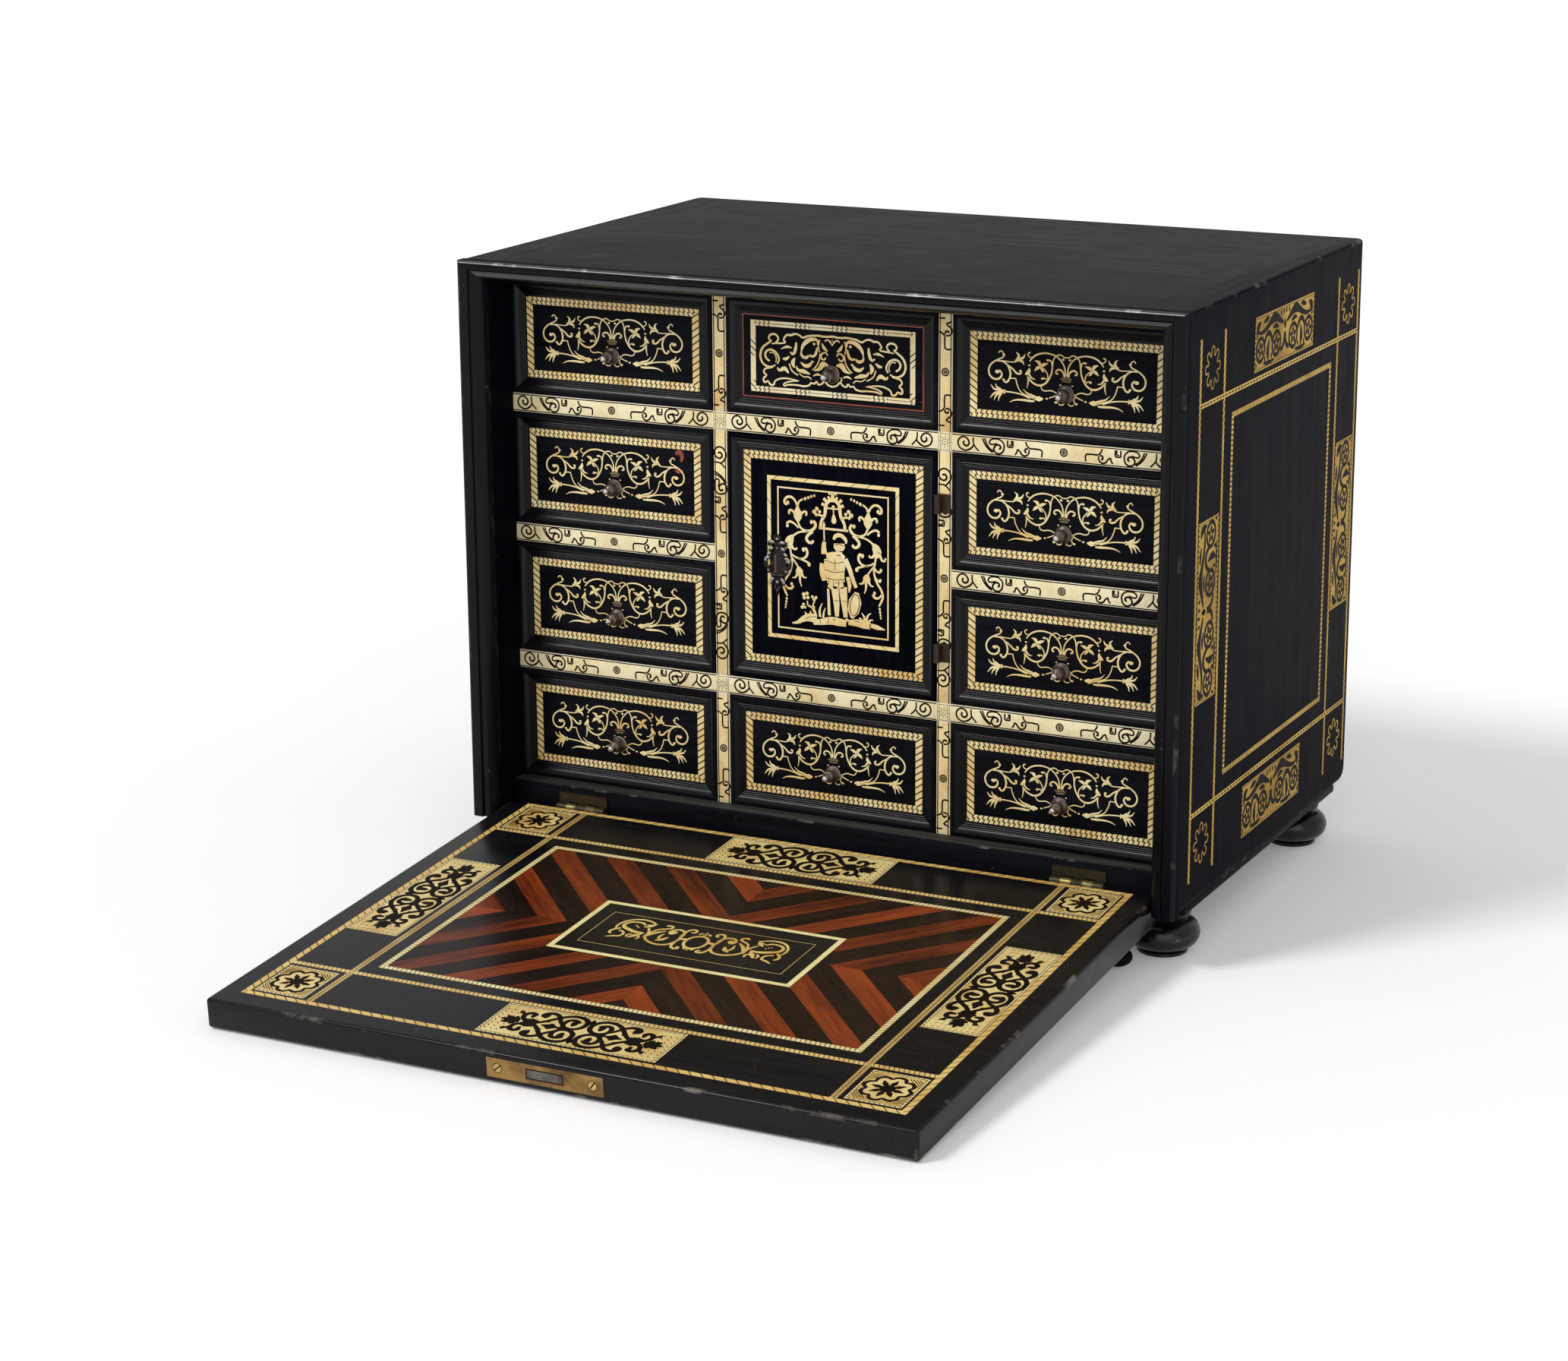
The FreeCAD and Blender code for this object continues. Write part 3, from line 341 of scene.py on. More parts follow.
# %% Metals and drawer wood
def metal(name, bright, dull, shine=0.3, tarnish=0.5, scale=90, polished=None):
    f = Finish(name)
    patches = f.cloud(f.place(), scale, 5, 0.62)
    fine = f.cloud(f.place(), scale * 9, 2, 0.5)
    dirty = f.ramp(patches, tarnish - 0.14, tarnish + 0.2)
    colour = f.mix(dirty, tone(*bright), tone(*dull))
    rough = shine + dirty * 0.28 + fine * 0.1
    if polished:
        rubbed = (f.mark("worn") * (0.6 + patches * 0.6)).clipped()
        colour = f.mix(rubbed, colour, tone(*polished))
        rough = rough - rubbed * 0.12
    return f.surface(Base_Color=colour, Metallic=1 - dirty * 0.45, Roughness=rough, bump=fine,
                     bump_depth=0.00015, bump_strength=0.25)


def oak(name, stretch, pale, dark):
    f = Finish(name)
    grain = f.cloud(f.place(stretch), 1, 6, 0.6)
    flecks = f.ramp(f.cloud(f.place([s * 2.4 for s in stretch]), 1, 3, 0.5), 0.58, 0.72)
    colour = f.mix(f.ramp(grain, 0.3, 0.75), tone(*pale), tone(*dark))
    colour = f.mix(flecks * 0.4, colour, tone(*[c * 0.55 for c in dark]))
    return f.surface(Base_Color=colour, Roughness=0.58 + grain * 0.15, bump=grain, bump_depth=0.0002,
                     bump_strength=0.3)


bronze = metal("knob_bronze", (104, 90, 83), (46, 38, 35), 0.24, 0.5, 120, (214, 204, 196))
cast_bronze = metal("key_plate_bronze", (62, 58, 56), (14, 13, 13), 0.24, 0.42, 140, (178, 172, 166))
brass = metal("tarnished_brass", (160, 128, 74), (84, 50, 32), 0.3, 0.52, 48)
hinge_brass = metal("hinge_brass", (136, 124, 76), (66, 58, 34), 0.32, 0.46, 90)
old_hinge = metal("dark_hinge_brass", (78, 70, 46), (36, 32, 23), 0.34, 0.46, 90)
screw_brass = metal("screw_brass", (206, 176, 112), (120, 92, 52), 0.28, 0.56, 120)
iron = metal("rusty_iron", (74, 66, 62), (62, 42, 32), 0.42, 0.42, 150)
steel = metal("lock_steel", (118, 114, 108), (62, 55, 48), 0.3, 0.52, 110)
drawer_oak = oak("drawer_oak", (60, 7, 90), (150, 112, 72), (104, 70, 40))
back_wood = oak("back_board_wood", (70, 70, 6), (74, 56, 42), (42, 31, 24))
print("metals and drawer wood ready")

# %% [markdown]
# ## A workbench for shapes
# Every new piece starts on a fresh bmesh with three things ready: a UV map for strips, a `worn` mark
# for rounded edges and a `strip` mark that gives each strip of veneer its own shade. `finished` turns
# it into an object that rides on a body of the working model. `placed` makes a shape flat on the bench
# and then lays it where it belongs; `newer`, `attached` and `only` pick out what was just made.

# %% Workbench
def workbench():
    bm = bmesh.new()
    bm.loops.layers.uv.new("UVMap")
    bm.faces.layers.float.new("worn")
    bm.faces.layers.float.new("strip")
    return bm


def finished(name, bm, body, slot, *finishes, stands_for=(), crease=35):
    bmesh.ops.recalc_face_normals(bm, faces=bm.faces)
    mesh = bpy.data.meshes.new(name)
    bm.to_mesh(mesh)
    bm.free()
    for finish in finishes:
        mesh.materials.append(finish)
    mesh.shade_smooth()
    mesh.set_sharp_from_angle(angle=math.radians(crease))
    piece = bpy.data.objects.new(name, mesh)
    bpy.context.scene.collection.objects.link(piece)
    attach(piece, body)
    if stands_for:
        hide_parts(*stands_for)
    print(name, "faces", len(mesh.polygons))
    return piece


def newer(bm, before):
    return [v for v in bm.verts if v not in before]


def attached(verts):
    return [*verts, *{e for v in verts for e in v.link_edges}, *{f for v in verts for f in v.link_faces}]


def only(kind, geom):
    return [g for g in geom if isinstance(g, kind)]


def placed(bm, place, make, *sizes):
    before = set(bm.verts)
    make(bm, *sizes)
    bmesh.ops.transform(bm, matrix=place, verts=newer(bm, before))


def lying(origin, across, up):
    """The flat of a face: across and up run in it, and the third axis stands out of it."""
    across, up = Vector(across), Vector(up)
    flat = Matrix((across, up, across.cross(up))).transposed().to_4x4()
    flat.translation = Vector(origin)
    return flat


def facing(low, high, y):
    """The flat at depth y in the middle of a box, looking to the front."""
    return lying(((low.x + high.x) / 2, y, (low.z + high.z) / 2), (1, 0, 0), (0, 0, 1))


def rounded_board(bm, low, high, edge=0.8 * MM, steps=2, finish=0, left_square=None):
    low, high = Vector(low), Vector(high)
    verts = bmesh.ops.create_cube(bm, size=1)["verts"]
    bmesh.ops.scale(bm, vec=high - low, verts=verts)
    bmesh.ops.translate(bm, vec=(low + high) / 2, verts=verts)
    for face in {f for v in verts for f in v.link_faces}:
        face.material_index = finish
    edges = {e for v in verts for e in v.link_edges}
    round_over(bm, [e for e in edges if not (left_square and left_square(middle_of(e)))], edge, steps)


def middle_of(edge):
    return (edge.verts[0].co + edge.verts[1].co) / 2


def round_over(bm, edges, radius, steps, mark=1):
    rounding = bmesh.ops.bevel(bm, geom=edges, offset=radius, segments=steps, profile=0.5, affect="EDGES",
                               material=-1)
    worn = bm.faces.layers.float["worn"]
    for face in rounding["faces"]:
        face[worn] = mark


print("bench ready")

# %% [markdown]
# ## The case
# Two sides, a top, a sill and a base board, with outer edges rounded by long use. The rear corners are
# rounded most, and the joints between the boards stay square so that they close. The top is crossbanded:
# two saw cuts mark the end bands, whose faces take the wood with grain the other way. The sides and the
# end faces of the top take a darker, bluer copy of the black, a painted shade. The sill's top face takes
# a paler grey of its own, a painted sheen. The CAD boards stay in the simulation; these stand for them.

# %% Case boards
REAR_ROUND, FOOT_ROUND, RIM_ROUND, BAND = 6 * MM, 11 * MM, 2.2 * MM, 216 * MM


def rim_edges(bm, on_rim):
    return [e for e in bm.edges if all(on_rim(v.co) for v in e.verts)]


# the sides take the darker, bluer upright wood, a painted shade
for side, node in ((-1, "left_side"), (1, "right_side")):
    bm = workbench()
    low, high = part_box(node)
    outer = high.x if side > 0 else low.x
    rounded_board(bm, low, high, FOOT_ROUND, 6, 0, lambda m: m.y < high.y - TINY or m.z > low.z + TINY)
    for face in bm.faces:
        face[bm.faces.layers.float["worn"]] = 0
    rim = rim_edges(bm, lambda co: abs(co.x - outer) < TINY)
    rim = [e for e in rim if middle_of(e).z < high.z - TINY and middle_of(e).y > low.y + TINY]
    round_over(bm, rim, REAR_ROUND, 5, 0.5)
    finished(node + "_polished", bm, "case", "ebonised_wood", wood_up_painted_shade, stands_for=(node,))

bm = workbench()
low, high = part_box("top_panel")
rounded_board(bm, low, high, REAR_ROUND, 5, 0, lambda m: m.y < high.y - TINY or abs(m.x) < high.x - TINY)
rim = rim_edges(bm, lambda co: abs(co.z - high.z) < TINY)
round_over(bm, [e for e in rim if middle_of(e).y > low.y + TINY], RIM_ROUND, 4)
for x in (-BAND, BAND):
    bmesh.ops.bisect_plane(bm, geom=attached(bm.verts[:]), dist=SAW, plane_co=(x, 0, 0), plane_no=(1, 0, 0))
bm.normal_update()
# the top's end faces take the darker upright wood too, a painted shade
for face in bm.faces:
    face.material_index = 2 if abs(face.normal.x) > 0.7 else int(abs(face.calc_center_median().x) > BAND)
finished("top_polished", bm, "case", "ebonised_wood", wood_along, wood_back, wood_up_painted_shade,
         stands_for=("top_panel",))

bm = workbench()
low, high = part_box("front_sill")
rounded_board(bm, low + Vector((0, 0.2 * MM, 0)), high, 1.2 * MM, 3)
bm.normal_update()
# the top face takes the paler grey, a painted sheen
for face in bm.faces:
    face.material_index = int(face.normal.z > 0.8)
finished("front_sill_rounded", bm, "case", "ebonised_wood", wood_along, sill_top_sheen_painted,
         stands_for=("front_sill",))

bm = workbench()
low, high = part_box("base_board")
BASE_INSET = 1.5 * MM
rounded_board(bm, low + Vector((BASE_INSET, 0, 0)), high - Vector((BASE_INSET, FOOT_ROUND + 0.5 * MM, 0)),
              BASE_INSET, 3)
finished("base_board_rounded", bm, "case", "ebonised_wood", wood_along, stands_for=("base_board",))

# %% [markdown]
# ## Lengths of moulding
# A moulding is one section pushed along a length and mitred at both ends. The section is a face,
# extrude makes the length, and bisect_plane saws each mitre. Across the section, 0 is the outer edge
# and 1 the inner, so one section serves sides of different width and its members still meet.

# %% Moulding tools
def moulding_length(bm, section, reach, width, other, square_foot=0):
    before = set(bm.verts)
    end = bm.faces.new([bm.verts.new((-reach, across * width, rise)) for across, rise in section])
    grown = bmesh.ops.extrude_face_region(bm, geom=[end])["geom"]
    bmesh.ops.translate(bm, vec=(2 * reach, 0, 0), verts=only(BMVert, grown))
    for side in (-1, 1):
        if side == square_foot:
            continue
        mitre = Vector((side * width, other, 0)).normalized()
        cut = bmesh.ops.bisect_plane(bm, geom=attached(newer(bm, before)), dist=SAW, clear_outer=True,
                                     plane_co=(side * reach, 0, 0), plane_no=mitre)["geom_cut"]
        bmesh.ops.holes_fill(bm, edges=only(BMEdge, cut))


def moulded_frame(bm, half_across, half_up, side_width, end_width, section):
    level = half_across, half_up, end_width, side_width
    upright = half_up, half_across, side_width, end_width
    for turn, (reach, depth, width, other) in ((0, level), (90, upright), (180, level), (270, upright)):
        place = Matrix.Rotation(math.radians(turn), 4, "Z") @ Matrix.Translation((0, -depth, 0))
        placed(bm, place, moulding_length, section, reach, width, other)


def arc(centre, radius, start, stop, steps, width):
    """Points of a rounded member; across is given as a share of the moulding's width."""
    turns = [math.radians(start + (stop - start) * i / steps) for i in range(steps + 1)]
    x, rise = centre
    return [((x + radius * math.cos(t)) / width, (rise + radius * math.sin(t)) * MM) for t in turns]


print("moulding tools ready")

# %% [markdown]
# ## The moulding round the opening
# From outside in: an arris rounded and rubbed by use, a flat fillet, a quirk, and a broad
# quarter round that falls away into the opening. Along the top the arris is rubbed near white in
# patches, painted highlight as well as wear, and the outer faces take the darker upright wood, a
# painted shade. Left and right are wider than the top, and the section is shared in proportion so that
# every member meets at the mitres. The uprights stand on square feet, so only their upper ends are sawn.

# %% Opening moulding
low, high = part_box("opening_moulding")
side_width, top_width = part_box("bottom_panel")[0].x - low.x, high.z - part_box("top_panel")[0].z
depth, wide = high.y - low.y, side_width / MM
ARRIS, BAR_ROUND = 2.6, 6.1
opening_section = ([(0, -depth)] + arc((ARRIS, -ARRIS), ARRIS, 180, 90, 6, wide)
                   + [(7.6 / wide, 0), (8.1 / wide, -0.3 * MM),
                      (8.3 / wide, -1.6 * MM), (9.0 / wide, -1.9 * MM)]
                   + arc((10.6, -8.2), 6.75, 100, 8, 10, wide) + [(1, -7.8 * MM), (1, -depth)])
bm = workbench()
height, width, level = high.z - low.z, high.x - low.x, (low.z + high.z) / 2
for x, foot in ((low.x, 1), (high.x, -1)):
    place = lying((x, low.y, level), (0, 0, -foot), (foot, 0, 0))
    placed(bm, place, moulding_length, opening_section, height / 2, side_width, top_width, foot)
place = lying((0, low.y, high.z), (-1, 0, 0), (0, 0, -1))
placed(bm, place, moulding_length, opening_section, width / 2, top_width, side_width)
worn = bm.faces.layers.float["worn"]
bm.normal_update()
for face in bm.faces:
    middle = face.calc_center_median()
    inward = min(high.x - abs(middle.x), high.z - middle.z) / MM
    # outer faces: the darker upright wood, a painted shade
    if inward < 0.05:
        face.material_index = 1
    # on the top bar the arris takes the rubbed edge, whose near-white patches are painted highlight as well as
    # wear
    elif inward < ARRIS and 0.02 < abs(face.normal.y) < 0.995:
        on_top = abs(face.normal.z) > 0.02
        face.material_index, face[worn] = (2, 1) if on_top else (0, 0.4)
    elif abs(middle.x) < 100 * MM and inward > BAR_ROUND:
        face.material_index = 3
finished("opening_moulding_worked", bm, "case", "ebonised_wood", moulding_wood, wood_up_painted_shade, rubbed_edge_painted_highlight,
         bar_wood, stands_for=("opening_moulding",), crease=28)

# %% [markdown]
# ## Turned feet
# Four flattened buns on small pads. A turner draws half the outline and spins it; so does
# bmesh.ops.spin, and merging doubles closes the two poles.

# %% Bun feet
def turned(bm, outline, steps=36, polished=()):
    before = set(bm.verts)
    verts = [bm.verts.new((radius * MM, 0, height * MM)) for radius, height in outline]
    edges = [bm.edges.new(pair) for pair in zip(verts, verts[1:])]
    bmesh.ops.spin(bm, geom=verts + edges, cent=(0, 0, 0), axis=(0, 0, 1), dvec=(0, 0, 0),
                   angle=2 * math.pi, steps=steps, use_merge=True, use_duplicate=False)
    new = newer(bm, before)
    bmesh.ops.remove_doubles(bm, verts=new, dist=TINY)
    worn = bm.faces.layers.float["worn"]
    for face in {f for v in new if v.is_valid for f in v.link_faces}:
        height = face.calc_center_median().z / MM
        face[worn] = any(first <= height <= last for first, last in polished)


FOOT_RADIUS = 23.5 * MM
foot_outline = ([(0, 0), (15.4, 0), (16, 0.6), (16, 2.2), (15, 3.0)]
                + [(13.6 + 9.9 * math.cos(math.radians(a)), 13.0 + 9.6 * math.sin(math.radians(a)))
                   for a in range(-76, 77, 8)]
                + [(15.4, 22.9), (14.6, 23.6), (15.6, 24.4), (17.4, 25.2), (17.8, 26.4), (17.2, 27.6),
                   (15.2, 28.2), (15.0, 30), (0, 30)])
bm = workbench()
low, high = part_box("bun_feet")
for x in (low.x + FOOT_RADIUS, high.x - FOOT_RADIUS):
    for y in (low.y + FOOT_RADIUS, high.y - FOOT_RADIUS):
        placed(bm, Matrix.Translation((x, y, 0)), turned, foot_outline, 40, ((12, 16), (0.5, 2.4)))
finished("bun_feet_turned", bm, "case", "ebonised_wood", foot_wood, stands_for=("bun_feet",))

# %% [markdown]
# ## Drawer fronts
# Each front is a thin board with a black field, and round the field four mitred lengths of reeded
# moulding that rise outwards to a flat edge, so the field lies sunk. From the field out there is a
# narrow flat, three fine reeds, a steep slope and the edge. The reeds and the slope are waxed brighter
# than the flats, and only those below the field look up into the light.

# %% Drawer fronts and door front
def reeds(count, outer, inner, swell, steps=6):
    points = [(0, -0.4 * MM), (0, outer - 0.7 * MM), (0.03, outer - 0.15 * MM), (0.07, outer),
              (EDGE_FLAT, outer)]
    foot = EDGE_FLAT + 0.27
    start = outer - 1.9 * MM
    for i in range(count * steps + 1):
        t = i / (count * steps)
        ripple = swell * abs(math.sin(math.pi * count * t))
        points.append((foot + (0.9 - foot) * t, start + (inner - start) * t + ripple))
    return points + [(1, inner), (1, -0.4 * MM)]


drawers = [f"{side}_drawer_{row}" for side in ("left", "right") for row in (1, 2, 3, 4)]
drawers += ["middle_drawer_1", "middle_drawer_4"]
REED, DOOR_REED_SIDE, DOOR_REED_END = 10 * MM, 9.6 * MM, 10.1 * MM
RISE, SUNK, EDGE_FLAT = 4 * MM, 3 * MM, 0.26
front_section = reeds(3, RISE + SUNK, RISE - 0.1 * MM, 0.4 * MM)


def field_place(node):
    """The flat of a field: its middle, and half the size of the whole front."""
    low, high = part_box(node)
    return facing(low, high, low.y + SUNK), (high - low) / 2


def panelled_front(node, side_reed, end_reed):
    bm = workbench()
    low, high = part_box(node)
    rounded_board(bm, low + Vector((0, SUNK + RISE, 0)), high, 0.5 * MM, 2)
    rounded_board(bm, low + Vector((side_reed, SUNK, end_reed)),
                  Vector((high.x - side_reed, low.y + SUNK + RISE + 0.5 * MM, high.z - end_reed)),
                  0.35 * MM, 2)
    place, half = field_place(node)
    bed = place @ Matrix.Translation((0, 0, -RISE))
    boards = set(bm.faces)
    placed(bm, bed, moulded_frame, half.x, half.z, side_reed, end_reed, front_section)
    middle = (low + high) / 2
    for face in set(bm.faces) - boards:
        out = face.calc_center_median() - middle
        inward = min((half.x - abs(out.x)) / side_reed, (half.z - abs(out.z)) / end_reed)
        face.material_index = int(inward > EDGE_FLAT)
    return bm


for name in drawers:
    finished(name + "_front_reeded", panelled_front(name + "_front", REED, REED), name, "ebonised_wood",
             wood_along, reeded_wood, stands_for=(name + "_front",), crease=50)
finished("door_reeded", panelled_front("door_panel", DOOR_REED_SIDE, DOOR_REED_END), "door",
         "ebonised_wood", wood_up_painted_shade, reeded_wood, stands_for=("door_panel",), crease=50)

# %% [markdown]
# ## Knobs
# Small cast knobs: a broad ring, a cone of fine ridges, a second ring, and a ball at the tip that
# fingers keep bright. One outline is spun for all ten.

# %% Knobs
knob_outline = [(0, 0), (4.9, 0), (5.5, 0.5), (5.7, 1.2), (5.4, 2.0), (4.5, 2.5), (3.9, 2.8), (4.1, 3.3),
                (4.2, 3.8), (3.6, 4.2), (3.5, 4.6), (3.7, 5.0), (3.5, 5.5), (2.9, 5.9), (2.6, 6.4),
                (2.2, 7.0), (2.4, 7.5), (3.2, 7.9), (3.5, 8.6), (3.2, 9.4), (2.3, 9.9), (1.4, 10.3),
                (1.1, 10.8), (1.4, 11.2), (1.9, 11.9), (2.0, 12.7), (1.7, 13.5), (1.0, 14.1), (0, 14.3)]
knob_bright = ((11.4, 14.4), (0.4, 1.7), (8.0, 9.2))
for name in drawers:
    low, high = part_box(name + "_knob")
    bm = workbench()
    placed(bm, facing(low, high, high.y), turned, knob_outline, 28, knob_bright)
    finished(name + "_knob_cast", bm, name, "dark_bronze", bronze, stands_for=(name + "_knob",), crease=60)

# %% [markdown]
# ## Inlay: frames, plates and lines
# A border is a rectangle inset by its own width: the four inset faces are already mitred, so only
# the middle has to go. A plate is one rectangle, a line is a long thin one. Each is given a little
# thickness and stands a tenth of a millimetre proud, as old inlay does. The UV map follows the strip.

# %% Inlay tools
PROUD, DEEP = 0.1 * MM, 0.3 * MM


def inlaid_rectangle(bm, half_across, half_up):
    made = bmesh.ops.create_grid(bm, x_segments=1, y_segments=1, size=1)["verts"]
    bmesh.ops.scale(bm, vec=(half_across, half_up, 1), verts=made)
    return made[0].link_faces[0]


def let_in(bm, faces, proud=PROUD):
    verts = list({v for f in faces for v in f.verts})
    bmesh.ops.translate(bm, vec=(0, 0, proud - DEEP), verts=verts)
    grown = bmesh.ops.extrude_face_region(bm, geom=faces, use_keep_orig=True)["geom"]
    bmesh.ops.translate(bm, vec=(0, 0, DEEP), verts=only(BMVert, grown))
    return only(BMFace, grown)


def inlaid_frame(bm, half_across, half_up, width, finish=0, hatch_ends=True, proud=PROUD):
    middle = inlaid_rectangle(bm, half_across, half_up)
    strips = bmesh.ops.inset_region(bm, faces=[middle], thickness=width, use_even_offset=True,
                                    use_boundary=True)["faces"]
    bmesh.ops.delete(bm, geom=[middle], context="FACES")
    uv = bm.loops.layers.uv["UVMap"]
    for face in let_in(bm, strips, proud):
        centre = face.calc_center_median()
        on_end = half_across - abs(centre.x) < half_up - abs(centre.y)
        face.material_index = finish
        for loop in face.loops:
            x, y, _ = loop.vert.co
            if on_end:
                loop[uv].uv = (y, (half_across - abs(x)) / width + 2 * hatch_ends)
            else:
                loop[uv].uv = (x, (half_up - abs(y)) / width)


def inlaid_line(bm, start, stop, width, finish=0, proud=PROUD):
    start, stop = Vector(start), Vector(stop)
    run = stop - start
    before = set(bm.verts)
    face = inlaid_rectangle(bm, run.length / 2, width / 2)
    uv = bm.loops.layers.uv["UVMap"]
    for top in let_in(bm, [face], proud):
        top.material_index = finish
        for loop in top.loops:
            loop[uv].uv = (loop.vert.co.x, loop.vert.co.y / width + 0.5)
    turn = Matrix.Rotation(math.atan2(run.y, run.x), 4, "Z")
    bmesh.ops.transform(bm, matrix=Matrix.Translation(((start + stop) / 2).to_3d()) @ turn,
                        verts=newer(bm, before))


def inlaid_plate(bm, half_across, half_up, finish=0, proud=PROUD):
    for top in let_in(bm, [inlaid_rectangle(bm, half_across, half_up)], proud):
        top.material_index = finish


print("inlay tools ready")

# %% [markdown]
# ## Inlay: scrolls
# Scrollwork is drawn with a pen that swells and thins: each line of a drawing below is one stroke,
# as x, y and half width in millimetres from the middle of its panel. A point without a half width
# keeps the one before it. A Blender curve with a round bevel follows the stroke, its mesh is pressed
# flat, and the flat ribbon is let into the field. A line with a single point is a round dot, and a line
# that ends in a comma goes on in the next. Most drawings give one half, and `both` mirrors it.

# %% Pen tools
def pen(text):
    strokes = []
    for line in text.strip().replace(",\n", ", ").splitlines():
        stroke = []
        for point in line.split(","):
            x, y, *width = map(float, point.split())
            stroke.append((x, y, width[0] if width else stroke[-1][2]))
        strokes.append(dot(*stroke[0]) if len(stroke) == 1 else stroke)
    return strokes


def dot(x, y, r):
    return [(x + r * t, y, r * math.sqrt(max(0.02, 1 - t * t))) for t in (-1, -0.8, -0.4, 0, 0.4, 0.8, 1)]


def both(strokes, up=False):
    return strokes + [[(-x, y, r) if not up else (x, -y, r) for x, y, r in stroke] for stroke in strokes]


def stretched(strokes, across=1.0, up=1.0, weight=1.0):
    return [[(x * across, y * up, r * weight) for x, y, r in stroke] for stroke in strokes]


def moved(strokes, x0, y0, turn=0.0):
    c, s = math.cos(math.radians(turn)), math.sin(math.radians(turn))
    return [[(x0 + x * c - y * s, y0 + x * s + y * c, r) for x, y, r in stroke] for stroke in strokes]


def flower(x0, y0, reach, width, turns):
    petal = ((0.2, 0.5), (0.62, 1), (1, 0.25))
    return [[(x0 + share * reach * math.cos(t), y0 + share * reach * math.sin(t), width * swell)
             for share, swell in petal] for t in map(math.radians, turns)]


def whole_turn(steps):
    return [2 * math.pi * i / steps for i in range(steps + 1)]


def lobed(radius, depth, lobes, width, steps=4):
    turns = whole_turn(lobes * steps)
    reaches = [radius + depth * abs(math.cos(lobes * t / 2)) ** 0.7 for t in turns]
    return [[(reach * math.cos(t), reach * math.sin(t), width) for reach, t in zip(reaches, turns)]]


def ring(x0, y0, across, up, width, steps=16):
    return [[(x0 + across * math.cos(t), y0 + up * math.sin(t), width) for t in whole_turn(steps)]]


def inlaid_strokes(bm, strokes, place, rise=0.12, press=0.4, smooth=4, facets=1, finish=0):
    line = bpy.data.curves.new("strokes", "CURVE")
    line.dimensions, line.fill_mode, line.use_fill_caps = "3D", "FULL", True
    line.bevel_depth, line.bevel_resolution, line.resolution_u = 1, facets, smooth
    for stroke in strokes:
        spline = line.splines.new("BEZIER")
        spline.bezier_points.add(len(stroke) - 1)
        for point, (x, y, r) in zip(spline.bezier_points, stroke):
            point.co, point.radius = (x, y, 0), r
            point.handle_left_type = point.handle_right_type = "AUTO"
    holder = bpy.data.objects.new("strokes", line)
    bpy.context.scene.collection.objects.link(holder)
    mesh = bpy.data.meshes.new_from_object(holder)
    bpy.data.objects.remove(holder)
    bpy.data.curves.remove(line)
    for vert in mesh.vertices:
        vert.co.z = max(-rise, min(rise, vert.co.z * press))
    mesh.transform(place @ Matrix.Scale(MM, 4))
    before = set(bm.faces)
    bm.from_mesh(mesh)
    bpy.data.meshes.remove(mesh)
    for face in bm.faces:
        if face not in before:
            face.material_index = finish


print("pen ready")

# %% [markdown]
# ## Arabesques of the drawers
# Nine drawers carry the same traditional arabesque, mirrored about the knob: a round scroll with a
# flower in it, a volute at the end, a long tulip below, a small lily in the middle. Round it runs the
# engraved border. Side drawers are a little wider, so their drawing is stretched to fit. On one
# drawer the black is rubbed through to red wood in two places.

